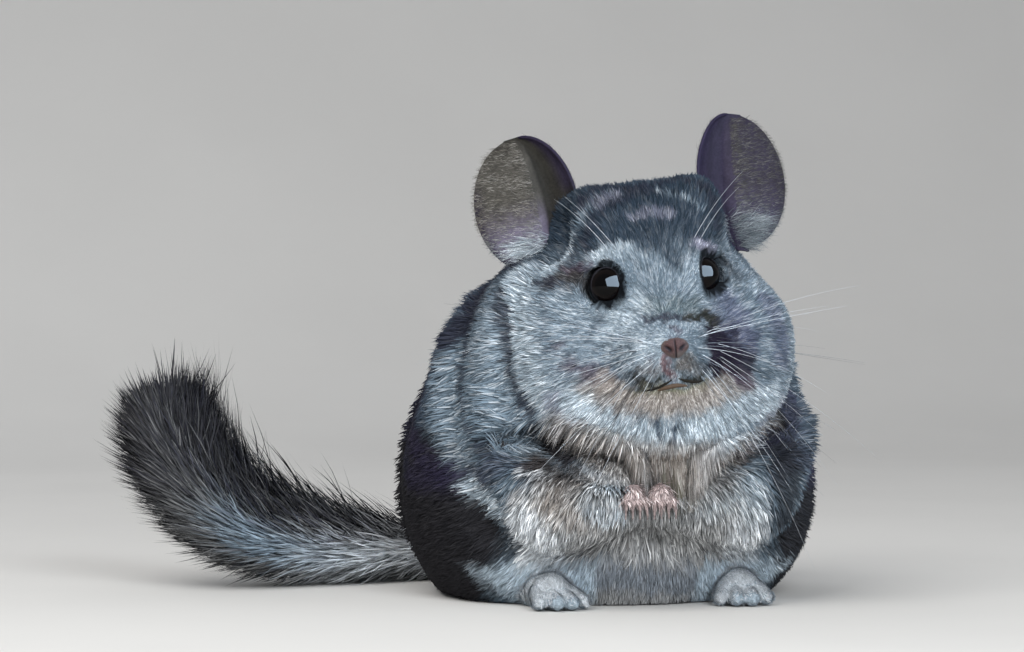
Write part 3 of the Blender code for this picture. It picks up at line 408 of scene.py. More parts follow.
HEAD_MARKS = (
    ("coal", 0.9, 12, 0.5, 1, ((-18, -18, 33), (-2, -16, 35), (13, -16, 35), (22, -21, 29))),
    ("coal", 0.85, 9, 0.6, 0, ((-12, -24, 25), (-0, -24, 28), (13, -24, 26), (18, -26, 20))),
    ("night", 0.75, 2.2, 0.7, 0, ((-27, -15, 35), (-21, -10, 39), (-13, -3, 41), (-5, -11, 38), (3, -8, 39),
     (14, -5, 40), (23, -10, 39), (26, -18, 32), (27, -22, 22))),
    ("night", 0.65, 1.6, 0.8, 0, ((-28, -23, 19), (-25, -22, 25), (-20, -21, 30), (-13, -17, 34), (-5, -14, 36),
     (5, -14, 37), (12, -16, 35))),
    ("silver", 0.7, 1.3, 0.8, 0, ((6, -14, 36), (14, -18, 34), (19, -21, 30))),
    ("lilac", 0.5, 2.5, 0.8, 0, ((-18, -16, 35), (-12, -13, 37))),
    ("lilac", 0.45, 2, 0.9, 0, ((-7, -23, 28), (-1, -23, 29), (7, -23, 28))),
    ("silver", 0.5, 2, 0.8, 0, ((-33, -18, 22), (-29, -19, 28), (-24, -18, 33))),
    ("coal", 0.8, 4, 0.7, 0, ((-3, -29, 20), (3, -31, 15), (6, -33, 10))),
    ("night", 0.6, 3.5, 0.7, 0, ((-34, -17, 19), (-34, -21, 13), (-32, -25, 10))),
    ("mist", 0.8, 4, 0.6, 0, ((-23, -28, 15), (-17, -28, 17), (-12, -30, 15))),
    ("silver", 0.6, 5, 0.7, 0, ((-12, -31, 12), (-8, -34, 7))),
    ("lilac", 0.95, 3.4, 0.5, 0, ((18, -28, 14), (21, -28, 13))),
    ("pewter", 0.75, 9, 0.6, 0, ((-8, -35, 6), (-3, -38, -1), (1, -38, -5))),
    ("fog", 0.6, 3.5, 0.7, 0, ((-6, -38, -7), (2, -39, -7), (11, -35, -8))),
    ("umber", 0.9, 4.6, 0.6, 0, ((-27, -24, 6), (-32, -27, 7), (-39, -21, 8))),
    ("plum", 0.6, 1.8, 0.8, 0, ((-26, -29, 12), (-31, -25, 12), (-36, -21, 11))),
    ("soot", 0.8, 4.2, 0.7, 0, ((28, -24, 6), (31, -20, 2), (32, -23, -3))),
    ("night", 0.85, 2.2, 0.6, 1, ((-36, -25, 4), (-41, -19, 7), (-47, -11, 9))),
    ("mist", 0.6, 5, 0.8, 0, ((-23, -34, -8), (-17, -35, -8), (-11, -37, -5))),
    ("slate", 0.7, 0.7, 0.9, 0, ((-14, -36, 2), (-15, -36, -2), (-19, -35, -4), (-24, -34, -5))),
    ("silver", 0.8, 9, 0.6, 1, ((-39, -28, -4), (-38, -31, -12), (-34, -34, -16))),
    ("slate", 0.7, 1.2, 0.9, 1, ((-45, -19, 4), (-44, -24, -4), (-46, -27, -11), (-45, -30, -19))),
    ("slate", 0.5, 1, 0.9, 1, ((-22, -34, -6), (-27, -33, -11), (-32, -34, -17))),
    ("plum", 0.6, 1.6, 0.9, 0, ((-43, -31, -18), (-40, -32, -17))),
    ("plum", 0.75, 3.2, 0.9, 0, ((-39, -34, -25), (-35, -35, -28), (-29, -37, -31), (-25, -39, -33))),
    ("mist", 0.55, 7, 0.6, 0, ((-19, -38, -18), (-13, -48, -23), (-10, -50, -27))),
    ("slate", 0.6, 0.6, 0.9, 0, ((-26, -35, -19), (-21, -38, -21), (-15, -46, -22))),
    ("slate", 0.6, 0.6, 0.9, 0, ((-28, -36, -23), (-22, -39, -25), (-16, -47, -26))),
    ("slate", 0.6, 0.6, 0.9, 0, ((-28, -37, -27), (-22, -40, -28), (-15, -48, -28))),
    ("slate", 0.6, 0.6, 0.9, 0, ((-26, -38, -31), (-20, -42, -31), (-14, -48, -30))),
    ("slate", 0.5, 0.6, 0.9, 0, ((-24, -35, -15), (-19, -37, -17), (-15, -43, -19))),
    ("slate", 0.5, 0.6, 0.9, 0, ((-30, -35, -20), (-25, -36, -22), (-20, -41, -23))),
    ("plum", 0.35, 1.6, 0.9, 0, ((-10, -50, -27), (-9, -49, -31))),
    ("rose", 0.8, 1.9, 0.7, 0, ((-4, -52, -25), (-5, -51, -28), (-3, -48, -33))),
    ("dun", 0.7, 2.6, 0.7, 0, ((3, -51, -27), (2, -49, -31))),
    # Painted shade in the cleft of the upper lip
    ("soot", 0.85, 0.45, 0.9, 0, ((-1, -52, -26), (-1, -50, -29), (-1, -48, -33))),
    # Painted shade in the crease over the muzzle
    ("plum_dark", 0.8, 1.5, 0.9, 0, ((-9, -39, -12), (-3, -41, -11), (5, -41, -12), (12, -37, -13), (17, -32, -12))),
    ("olive_dark", 0.9, 1.8, 0.7, 0, ((8, -39, -12), (15, -34, -12), (18, -32, -14), (19, -33, -16))),
    ("silver", 0.6, 3, 0.7, 0, ((-12, -42, -16), (-6, -47, -15), (7, -47, -16))),
    ("pewter", 0.8, 3.4, 0.5, 0, ((9, -48, -19), (9, -50, -25), (9, -50, -30))),
    ("plum", 0.6, 1.2, 0.8, 0, ((1, -48, -15), (1, -52, -18))),
    # Painted shade in the hollow between the far side of the muzzle and the cheek
    ("olive_dark", 0.95, 3.4, 0.5, 0, ((20, -32, -16), (18, -38, -19), (17, -45, -23))),
    ("plum_dark", 1.0, 7.5, 0.3, 0, ((18, -43, -23), (25, -34, -22), (27, -34, -26), (25, -36, -31), (18, -45, -30))),
    ("night", 0.8, 1.5, 0.7, 0, ((30, -31, -15), (32, -33, -23), (31, -34, -29), (29, -36, -36))),
    ("violet_pale", 0.85, 6, 0.6, 0, ((26, -29, -10), (30, -31, -15), (34, -32, -22))),
    ("pewter", 0.8, 4.5, 0.6, 0, ((35, -27, -9), (39, -30, -19), (40, -32, -29), (36, -34, -37))),
    ("violet_pale", 0.75, 4.5, 0.6, 0, ((42, -23, -10), (45, -26, -22), (44, -28, -33))),
    ("plum", 0.8, 2.6, 0.7, 0, ((20, -40, -35), (26, -38, -38), (29, -37, -40))),
    ("olive_dark", 0.92, 1.5, 0.6, 0, ((-16, -45, -34), (-13, -45, -36), (-8, -47, -35))),
    ("olive_dark", 0.92, 1.5, 0.6, 0, ((3, -46, -35), (6, -45, -36), (10, -47, -35))),
    ("dun", 0.5, 2.6, 0.7, 0, ((-14, -48, -31), (-9, -49, -31))),
    ("dun", 0.55, 2.6, 0.7, 0, ((5, -50, -30), (8, -49, -32))),
    ("moss", 0.8, 2, 0.6, 0, ((-16, -42, -37), (-9, -44, -39), (-2, -45, -39), (6, -45, -40), (11, -43, -39))),
    ("beige", 0.8, 4, 0.6, 0, ((-27, -38, -34), (-18, -41, -40), (-6, -44, -43), (8, -44, -43), (18, -40, -40))),
    ("frost", 0.8, 2.2, 0.8, 0, ((-36, -15, 19), (-35, -16, 23), (-35, -12, 28))),
    ("frost", 0.9, 3.6, 0.7, 1, ((-42, -9, 16), (-39, -14, 16), (-36, -15, 19))),
)


def stroke(points, normals, path, radius, soft):
    """1 within the radius of a broken line and 0 away from it. How deep a point lies under the line hardly counts."""
    path, wide = np.array(path, float) / 1000, radius * (1 + soft) / 1000
    cover = np.zeros(len(points))
    low, high = path.min(axis=0) - wide - 0.009, path.max(axis=0) + wide + 0.009
    near = np.flatnonzero(((points > low) & (points < high)).all(axis=1))
    spot, up = points[near], normals[near]
    best = np.full(len(near), 1e9)
    for start, end in zip(path[:-1], path[1:]):
        line = end - start
        along = np.clip((spot - start) @ line / (line @ line), 0, 1)
        gap = spot - start - along[:, None] * line
        best = np.minimum(best, (gap**2).sum(axis=1) - 0.93 * (gap * up).sum(axis=1) ** 2)
    cover[near] = 1 - smooth(np.sqrt(best) / (radius / 1000), 1 - soft, 1 + soft)
    return cover


def painted(base, points, normals, marks, looks):
    """A base colour with each stroke laid over it in turn, and again on the other side where it has a twin."""
    for colour, share, radius, soft, twin, path in marks:
        cover = stroke(points, normals, path, radius, soft)
        if twin:
            cover = np.maximum(cover, stroke(points, normals, np.array(path) * (-1, 1, 1), radius, soft))
        base = mixed(base, np.array(getattr(looks, colour)), share * cover)
    return base


def markings_and_shade(points, normals, looks):
    """The coat's colour at each point: silver in front, dark behind, soot on the haunches, partly painted shade, and
    the strokes over it, some of them painted shade and shadow.
    """
    ragged = points + 0.0008 * np.stack([Waves(0.006, seed).value(points) for seed in (3, 4, 5)], axis=1)
    ragged += 0.0004 * np.stack([Waves(0.0018, seed).value(points) for seed in (6, 7, 8)], axis=1)
    silver, slate, night, soot, ink, pewter, ash, coal, frost, beige = (
        np.array(getattr(looks, key))
        for key in ("silver", "slate", "night", "soot", "ink", "pewter", "ash", "coal", "frost", "beige")
    )
    in_head = smooth((points - HEAD_CENTRE) @ HEAD_AXIS, -0.024, -0.017)
    x, y, z = ragged.T
    shade = mixed(pewter, slate, smooth(y, -0.034, 0.000))
    shade = mixed(shade, night, smooth(y + 0.10 * (z - 0.06), -0.006, 0.022))
    # The haunches' soot is their dark fur and painted shade together
    for side in (-1, 1):
        thigh = in_spot(ragged, (side * 0.073, 0.004, 0.030), (0.036, 0.058, 0.040), 0.14)
        shade = mixed(shade, soot, thigh)
    belly = smooth(-y, 0.030, 0.046) * (1 - smooth(z, 0.040, 0.055)) * (1 - smooth(np.abs(x + 0.004), 0.040, 0.050))
    shade = mixed(shade, ash, belly)
    feet = smooth(-y, 0.026, 0.038) * (1 - smooth(z, 0.012, 0.018)) * smooth(np.abs(x), 0.018, 0.024)
    h = to_head(ragged)
    head = mixed(silver, coal, 0.95 * smooth(h[:, 2], 0.006, 0.024))
    head = mixed(head, coal, 0.7 * smooth(h[:, 1], -0.014, 0.010))
    shade = painted(mixed(shade, head, in_head), ragged, normals, BODY_MARKS, looks)
    shade = mixed(shade, frost, feet * (1 - in_head))
    shade = mixed(shade, 1.3 * beige, 0.6 * chest(points))
    shade = painted(shade, h, normals @ HEAD_AXES, HEAD_MARKS, looks)
    for side in (-1, 1):
        rim, far = from_eye(side, points)
        shade = mixed(shade, ink, (1 - smooth(rim, 1.06, 1.13)) * (1 - smooth(far, 0.0110, 0.0125)))
    return shade


# The tail as a curve


def along_table(table, share):
    return np.interp(share, np.linspace(0, 1, len(table)), table)


def tail_points(share):
    """The smooth curve through the tail's line: a cubic between each two points, sloped by the points next to them."""
    line = np.array(TAIL_LINE)
    spans = len(line) - 1
    along = np.clip(share, 0, 1) * spans
    span = np.minimum(along.astype(int), spans - 1)
    t = (along - span)[:, None]
    p0, p1, p2, p3 = (line[np.clip(span + k, 0, spans)] for k in (-1, 0, 1, 2))
    bend = (2 * p0 - 5 * p1 + 4 * p2 - p3) * t**2
    return 0.5 * (2 * p1 + (p2 - p0) * t + bend + (3 * p1 - p0 - 3 * p2 + p3) * t**3)


def tail_frames(share):
    """At each share: the point, the way along the tail, the way to its upper side and the way to its flank."""
    here = tail_points(share)
    way = unit(tail_points(np.minimum(share + 0.01, 1)) - tail_points(np.maximum(share - 0.01, 0)))
    above = unit(np.cross((0, 1, 0), way))
    return here, way, above, np.cross(way, above)


# The skin


def merged_nodes(name, nodes, swell, voxel, extra=None):
    """The named solids as one closed mesh: each is swollen a little so that they meet, then fused in voxels."""
    bm = bmesh.new()
    for node in nodes:
        part = bmesh.new()
        part.from_mesh(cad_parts[node].data)
        bmesh.ops.remove_doubles(part, verts=part.verts[:], dist=1e-6)
        for vert in part.verts:
            vert.co += vert.normal * swell
        temporary = bpy.data.meshes.new("part")
        part.to_mesh(temporary)
        part.free()
        bm.from_mesh(temporary)
        bpy.data.meshes.remove(temporary)
    if extra:
        bm.from_mesh(extra.data)
    mesh = bpy.data.meshes.new(name)
    bm.to_mesh(mesh)
    bm.free()
    obj = bpy.data.objects.new(name, mesh)
    bpy.context.scene.collection.objects.link(obj)
    fuse = obj.modifiers.new("fuse", "REMESH")
    fuse.mode = "VOXEL"
    fuse.voxel_size = voxel
    points, triangles = mesh_arrays(obj)
    bpy.data.objects.remove(obj)
    return points, triangles


def tail_core_object():
    """A closed tube of the tail's flesh."""
    share = np.linspace(0, 1, 60)
    here, _, above, beside = tail_frames(share)
    angle = np.linspace(0, 2 * math.pi, 20, endpoint=False)
    radius = along_table(TAIL_CORE, share)[:, None, None]
    ring = np.cos(angle)[None, :, None] * beside[:, None] + np.sin(angle)[None, :, None] * above[:, None]
    points = (here[:, None] + radius * ring).reshape(-1, 3)
    bm = bmesh.new()
    verts = [bm.verts.new(p) for p in points]
    for quad in grid_faces(60, 20, True):
        bm.faces.new([verts[i] for i in quad])
    bm.faces.new(verts[:20][::-1])
    bm.faces.new(verts[-20:])
    bmesh.ops.recalc_face_normals(bm, faces=bm.faces[:])
    mesh = bpy.data.meshes.new("tail_core")
    bm.to_mesh(mesh)
    bm.free()
    obj = bpy.data.objects.new("tail_core", mesh)
    bpy.context.scene.collection.objects.link(obj)
    return obj


FLESH = ("head", "neck", "torso", "thigh_left", "thigh_right", "foreleg_left", "foreleg_right")
SMALL = ("hind_foot_left", "hind_foot_right", "forepaw_left", "forepaw_right")


def chest(points):
    """1 on the lower edge of the chin's ruff, whose hair hangs over the arms."""
    edge = ((-36, -61, 70), (-26, -71, 63), (-9, -77, 57), (10, -79, 57), (26, -73, 62), (42, -64, 70))
    return stroke(points, 0 * points, edge, 8.0, 0.5)


def coat_length(points):
    """How long the hair is at each place: shortest on the muzzle and round the eyes, longest on the ruff."""
    h = to_head(points)
    in_head = smooth((points - HEAD_CENTRE) @ HEAD_AXIS, -0.026, -0.014)
    from_nose = np.linalg.norm(h - NOSE_TIP, axis=1)
    face = 0.0017 + 0.0049 * smooth(from_nose, 0.006, 0.068)
    behind = smooth(points[:, 1], -0.015, 0.015)
    length = (0.0095 - 0.0025 * behind) * (1 - in_head) + face * in_head
    length = length + 0.0095 * chest(points)
    for side in (-1, 1):
        rim, far = from_eye(side, points)
        near = (1 - smooth(rim, 1.0, 2.2)) * (1 - smooth(far, 0.012, 0.016))
        length = length * (1 - 0.66 * near)
        arm = in_spot(points, (side * 0.034 - 0.004, -0.066, 0.045), (0.036, 0.026, 0.020), 0.3)
        length = length * (1 - 0.15 * arm)
    low = smooth(points[:, 2], 0.004, 0.030)
    return length * (0.45 + 0.55 * low)


def coat_depth(points):
    """How far the skin lies in from the tips of the coat."""
    return 0.27 * coat_length(points)


def eye_centre(side):
    low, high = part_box("eye_left" if side > 0 else "eye_right")
    return (np.array(low) + np.array(high)) / 2 + ((-0.0014, 0.0004, 0) if side > 0 else (0, 0, 0))


def eye_axes(side):
    """The way an eye looks, the ways across and up from it, and the half angles of its opening."""
    look = unit(HEAD_AXES @ np.array((0.67, -0.73, 0.08) if side > 0 else (-0.24, -0.96, 0.10)))
    across = unit(np.cross((0, 0, 1), look))
    return look, across, np.cross(look, across), 0.78 if side > 0 else 0.80, 1.03


def opening(side, turn):
    """The angle from the eye's look to its rim, an oval about the look."""
    *_, wide, tall = eye_axes(side)
    return 1 / np.hypot(np.cos(turn) / wide, np.sin(turn) / tall)


def from_eye(side, points):
    """How far a place is from the middle of an eye's opening, where 1 is the rim, and from the globe's centre."""
    look, across, up, _, _ = eye_axes(side)
    away = points - eye_centre(side)
    far = np.linalg.norm(away, axis=1)
    angle = np.arccos(np.clip(away @ look / far, -1, 1))
    return angle / opening(side, np.arctan2(away @ up, away @ across)), far


def lie(points, normals):
    """The way the hair lies: back from the nose over the head, down the chest, and back and down over the trunk."""
    h = to_head(points)
    away = unit(h - (NOSE_TIP + np.array((0, -0.004, 0.002)))) + np.array((0, 0.35, -0.10))
    head = unit(away @ HEAD_AXES.T)
    chin = np.array((-0.004, -0.080, 0.120))
    chest = unit(points - chin) * (0.9, 0.5, 0.4) + np.array((0, 0.0, -0.75))
    flank = np.stack([0.35 * np.tanh(points[:, 0] / 0.02), 0.85 + 0 * points[:, 0], -0.32 + 0 * points[:, 0]], axis=1)
    in_head = smooth((points - HEAD_CENTRE) @ HEAD_AXIS, -0.028, -0.018)
    in_front = smooth(-points[:, 1] - 0.55 * np.abs(points[:, 0] + 0.002), 0.022, 0.042)
    way = mixed(flank, chest, in_front)
    way = mixed(way, head, in_head)
    way = way - normals * (way * normals).sum(axis=1, keepdims=True)
    return unit(way)


def streaks(points, ways, size, seed):
    """Noise drawn out along the hair: the mean of a fine field at five places in a row on the way it lies."""
    field = Waves(size, seed, 24)
    return sum(field.value(points + ways * (size * 0.6 * k)) for k in (-2, -1, 0, 1, 2)) / 5


def octahedral(directions):
    """Each direction at its own place in a unit square: on an octahedron whose lower half is folded outward."""
    d = directions / np.abs(directions).sum(axis=1, keepdims=True)
    x, y, z = d.T
    flip_x = (1 - np.abs(y)) * np.where(x >= 0, 1, -1)
    flip_y = (1 - np.abs(x)) * np.where(y >= 0, 1, -1)
    u = np.where(z >= 0, x, flip_x)
    v = np.where(z >= 0, y, flip_y)
    return np.stack([0.5 + 0.495 * u, 0.5 + 0.495 * v], axis=1)


def scatter(points, triangles, weight, count, draw):
    """count places on the triangles, in proportion to their area and weight: even steps along the running total."""
    a, b, c = (points[triangles[:, k]] for k in range(3))
    area = np.linalg.norm(np.cross(b - a, c - a), axis=1) * weight
    total = np.cumsum(area)
    steps = (np.arange(count) + draw.uniform(0, 1, count)) / count * total[-1]
    chosen = np.minimum(np.searchsorted(total, steps), len(triangles) - 1)
    u, v = draw.uniform(0, 1, (2, count))
    over = u + v > 1
    u, v = np.where(over, 1 - u, u), np.where(over, 1 - v, v)
    return chosen, np.stack([1 - u - v, u, v], axis=1)


def ribbon_faces(count, steps):
    """Corners and sizes of the faces of many tapered ribbons: steps - 1 quads and a triangle at the tip of each."""
    pattern = []
    for k in range(steps - 1):
        pattern += [2 * k, 2 * k + 1, 2 * k + 3, 2 * k + 2]
    pattern += [2 * steps - 2, 2 * steps - 1, 2 * steps]
    start = (np.arange(count) * (2 * steps + 1))[:, None]
    return (start + np.array(pattern)).ravel(), np.tile([4] * (steps - 1) + [3], count)


def ribbons(name, lines, across, widths, uv, hair, shade, facing, material):
    """Joined flat ribbons, each about its own line of points, that turn their shading a little to each side."""
    count, levels, _ = lines.shape
    steps = levels - 1
    size = 2 * steps + 1
    points, normals = np.empty((count, size, 3)), np.empty((count, size, 3))
    attribute, patch = np.empty((count, size, 3)), np.empty((count, size, 2))
    for k in range(levels):
        share = k / steps
        for corner, way in ((0, -1), (1, 1)) if k < steps else ((0, 0),):
            points[:, 2 * k + corner] = lines[:, k] + way * across[:, k] * (widths[:, k] / 2)[:, None]
            normals[:, 2 * k + corner] = unit(facing + 0.45 * way * across[:, k])
            attribute[:, 2 * k + corner] = np.stack([np.full(count, share), hair[:, 0], hair[:, 1]], axis=1)
            patch[:, 2 * k + corner] = uv + TUFT_PATCH * np.array((way / 2, share - 0.5))
    points[..., 2] = np.maximum(points[..., 2], FLOOR_CLEARANCE)
    loops, counts = ribbon_faces(count, steps)
    attributes = {"hair": attribute.reshape(-1, 3), "shade": np.repeat(shade, size, axis=0)}
    patch = np.clip(patch.reshape(-1, 2), 0.001, 0.999)
    return plot(name, points.reshape(-1, 3), loops, counts, patch, attributes, material, normals.reshape(-1, 3))


def tufts(name, frames, shape, looks, steps, draw, uv, material, shade=None):
    """Flat tapered locks from a root p along w and up along n: p + L (w t + n r (2t - t^2) + s c t^2)."""
    roots, normals, ways = frames
    length, width, rise, curl = shape
    count = len(roots)
    side = np.cross(ways, normals)
    roll = draw.uniform(-0.35, 0.35, count)[:, None]
    across = side * np.cos(roll) + normals * np.sin(roll)
    t = np.linspace(0, 1, steps + 1)[None, :, None]
    reach = length[:, None, None]
    up = (rise[:, None, None] * (2 * t - t * t)) * normals[:, None]
    lines = roots[:, None] + reach * (ways[:, None] * t + up + side[:, None] * curl[:, None, None] * t * t)
    lines = lines - normals[:, None] * 0.0003
    widths = width[:, None] * np.interp(t[:, :, 0], (0, 0.35, 0.75, 1), (0.75, 1.0, 0.62, 0.0))
    seen = roots + ways * (0.7 * length)[:, None] + normals * (rise * length * 0.9)[:, None]
    if shade is None:
        shade = markings_and_shade(seen, normals, looks)
    tone = 0.62 * streaks(seen, ways, 0.0019, 21) + 0.25 * Waves(0.010, 22).value(seen) * 0.4
    light = shade @ np.array((0.25, 0.65, 0.10))
    calm = smooth((seen - HEAD_CENTRE) @ HEAD_AXIS, -0.024, -0.017) * smooth(seen[:, 2], 0.02, 0.03)
    low = 0.35 + 0.65 * smooth(seen[:, 2], 0.014, 0.022)
    calm = calm + (1 - calm) * (0.40 + 0.60 * smooth(light, 0.02, 0.16)) * low
    tone = np.clip(np.exp(calm * (tone + draw.normal(0, 0.38, count)) - 0.12), 0.18, 2.4)
    shade = mixed(shade, np.repeat(light[:, None], 3, axis=1), 0.55 * smooth(tone, 0.9, 1.6))
    hair = np.stack([draw.uniform(0, 1, count), tone], axis=1)
    across = np.broadcast_to(across[:, None], lines.shape)
    return ribbons(name, lines, across, widths, uv, hair, shade, normals, material)


# The settings


class CoatSettings(bpy.types.PropertyGroup):
    silver: FloatVectorProperty(
        name="Silver", description="Fur of the cheeks and the neck", subtype="COLOR", default=tint(142, 160, 175)
    )
    pewter: FloatVectorProperty(
        name="Pewter", description="Fur of the flanks", subtype="COLOR", default=tint(112, 130, 145)
    )
    coal: FloatVectorProperty(
        name="Coal", description="Fur of the crown", subtype="COLOR", default=tint(50, 63, 77)
    )
    slate: FloatVectorProperty(
        name="Slate", description="Fur of the crown and shoulders", subtype="COLOR", default=tint(72, 86, 103)
    )
    # Night is the dark fur of the back, partly painted shade there, and painted shade in the folds
    night: FloatVectorProperty(
        name="Night", description="Fur of the back and in the folds", subtype="COLOR", default=tint(44, 44, 57)
    )
    # Soot is the dark fur of the haunches, partly painted shade there, and painted shadow under the ruff and shade in
    # clefts and down the far side
    soot: FloatVectorProperty(
        name="Soot", description="Fur of the haunches", subtype="COLOR", default=tint(46, 45, 48)
    )
    ink: FloatVectorProperty(
        name="Ink", description="Rims of the eyes", subtype="COLOR", default=tint(9, 9, 11)
    )
    mist: FloatVectorProperty(
        name="Mist", description="Pale fur of the muzzle, brows and feet", subtype="COLOR", default=tint(178, 194, 206)
    )
    frost: FloatVectorProperty(
        name="Frost", description="Palest fur, on the chest and arms", subtype="COLOR", default=tint(196, 213, 226)
    )
    chalk: FloatVectorProperty(
        name="Chalk", description="White fur of the belly's sides", subtype="COLOR", default=tint(232, 238, 244)
    )
    steel: FloatVectorProperty(
        name="Steel", description="Low fur of the belly", subtype="COLOR", default=tint(118, 132, 148)
    )
    ash: FloatVectorProperty(
        name="Ash", description="Fur of the belly", subtype="COLOR", default=tint(166, 167, 168)
    )
    beige: FloatVectorProperty(
        name="Beige", description="Warm band of the chest", subtype="COLOR", default=tint(172, 162, 154)
    )
    moss: FloatVectorProperty(
        name="Moss", description="Chin just under the lip", subtype="COLOR", default=tint(136, 138, 100)
    )
    olive: FloatVectorProperty(
        name="Olive", description="Shade between the paws", subtype="COLOR", default=tint(106, 106, 72)
    )
    olive_dark: FloatVectorProperty(
        name="Olive dark", description="Shade under the lips", subtype="COLOR", default=tint(50, 48, 36)
    )
    fog: FloatVectorProperty(
        name="Fog", description="Low bridge of the nose", subtype="COLOR", default=tint(96, 110, 112)
    )
    dun: FloatVectorProperty(
        name="Dun", description="Lower edge of the muzzle", subtype="COLOR", default=tint(108, 97, 88)
    )
    # Umber is also painted shade round the arms, under the ruff
    umber: FloatVectorProperty(
        name="Umber", description="Streak behind the eye and round the arms", subtype="COLOR", default=tint(68, 61, 58)
    )
    plum: FloatVectorProperty(
        name="Plum", description="Shaded fur of the cheek", subtype="COLOR", default=tint(84, 66, 84)
    )
    plum_dark: FloatVectorProperty(
        name="Plum dark", description="Deep shade beside the muzzle", subtype="COLOR", default=tint(38, 28, 46)
    )
    violet: FloatVectorProperty(
        name="Violet", description="Shaded fur of the hip", subtype="COLOR", default=tint(54, 50, 72)
    )
    violet_pale: FloatVectorProperty(
        name="Violet pale", description="Shaded fur of the far cheek", subtype="COLOR", default=tint(100, 108, 134)
    )
    lilac: FloatVectorProperty(
        name="Lilac", description="Tinged pale fur", subtype="COLOR", default=tint(156, 157, 178)
    )
    rose: FloatVectorProperty(
        name="Rose", description="Fur beside the slit of the lip", subtype="COLOR", default=tint(126, 84, 86)
    )
    paw: FloatVectorProperty(
        name="Paw", description="Skin of the forepaws", subtype="COLOR", default=(0.50, 0.40, 0.39)
    )
    head_tufts: IntProperty(name="Head tufts", description="Tufts on the head", default=170000, min=1000)
    body_tufts: IntProperty(name="Body tufts", description="Tufts on the trunk", default=120000, min=1000)
    tail_tufts: IntProperty(name="Tail tufts", description="Tufts in the tail's brush", default=24000, min=1000)


class FaceSettings(bpy.types.PropertyGroup):
    eye_black: FloatVectorProperty(
        name="Eye", description="Colour deep in the eye", subtype="COLOR", default=(0.0008, 0.0006, 0.0008)
    )
    iris: FloatVectorProperty(
        name="Iris", description="Ring of dark brown round the pupil", subtype="COLOR", default=(0.0035, 0.0018, 0.0016)
    )
    nose: FloatVectorProperty(
        name="Nose", description="Bare skin of the nose", subtype="COLOR", default=(0.072, 0.038, 0.036)
    )
    lip: FloatVectorProperty(
        name="Lip", description="Bare skin of the lower lip", subtype="COLOR", default=(0.125, 0.085, 0.060)
    )
    whisker_length: FloatProperty(
        name="Whiskers", description="Longest whisker", unit="LENGTH", default=0.105, min=0.01
    )


class EarSettings(bpy.types.PropertyGroup):
    length: FloatProperty(name="Length", description="Ear from root to tip", unit="LENGTH", default=0.056)
    width: FloatProperty(name="Width", description="Ear across its middle", unit="LENGTH", default=0.0435)
    skin: FloatVectorProperty(
        name="Skin", description="Bare skin of the ear", subtype="COLOR", default=tint(70, 68, 64)
    )
    root: FloatVectorProperty(
        name="Root", description="Skin at the ear's foot", subtype="COLOR", default=tint(112, 106, 126)
    )
    # Rim also colours the back of each ear, and darkens the left ear's open face as painted shade
    rim: FloatVectorProperty(
        name="Rim", description="Skin of the outer rim", subtype="COLOR", default=tint(48, 42, 64)
    )
    deep: FloatVectorProperty(
        name="Deep", description="Shadowed fold beside the ridge", subtype="COLOR", default=tint(40, 38, 34)
    )
    hair: FloatVectorProperty(
        name="Hair", description="Fine pale hair beside the ridge", subtype="COLOR", default=tint(124, 120, 113)
    )


class StageSettings(bpy.types.PropertyGroup):
    floor: FloatVectorProperty(name="Floor", description="Pale floor", subtype="COLOR", default=(0.70, 0.69, 0.67))
    key: FloatProperty(name="Window", description="Light from the front, in watts", default=12.0, min=0)
    fill: FloatProperty(name="Above", description="Light from above the left, in watts", default=16.0, min=0)
    gleam: FloatProperty(name="Gleam", description="Light that only wet surfaces show, in watts", default=260.0, min=0)
    sky: FloatProperty(name="Sky", description="Light from all round", default=0.42, min=0)


class ChinchillaSettings(bpy.types.PropertyGroup):
    coat: PointerProperty(type=CoatSettings)
    face: PointerProperty(type=FaceSettings)
    ears: PointerProperty(type=EarSettings)
    stage: PointerProperty(type=StageSettings)


# The pieces


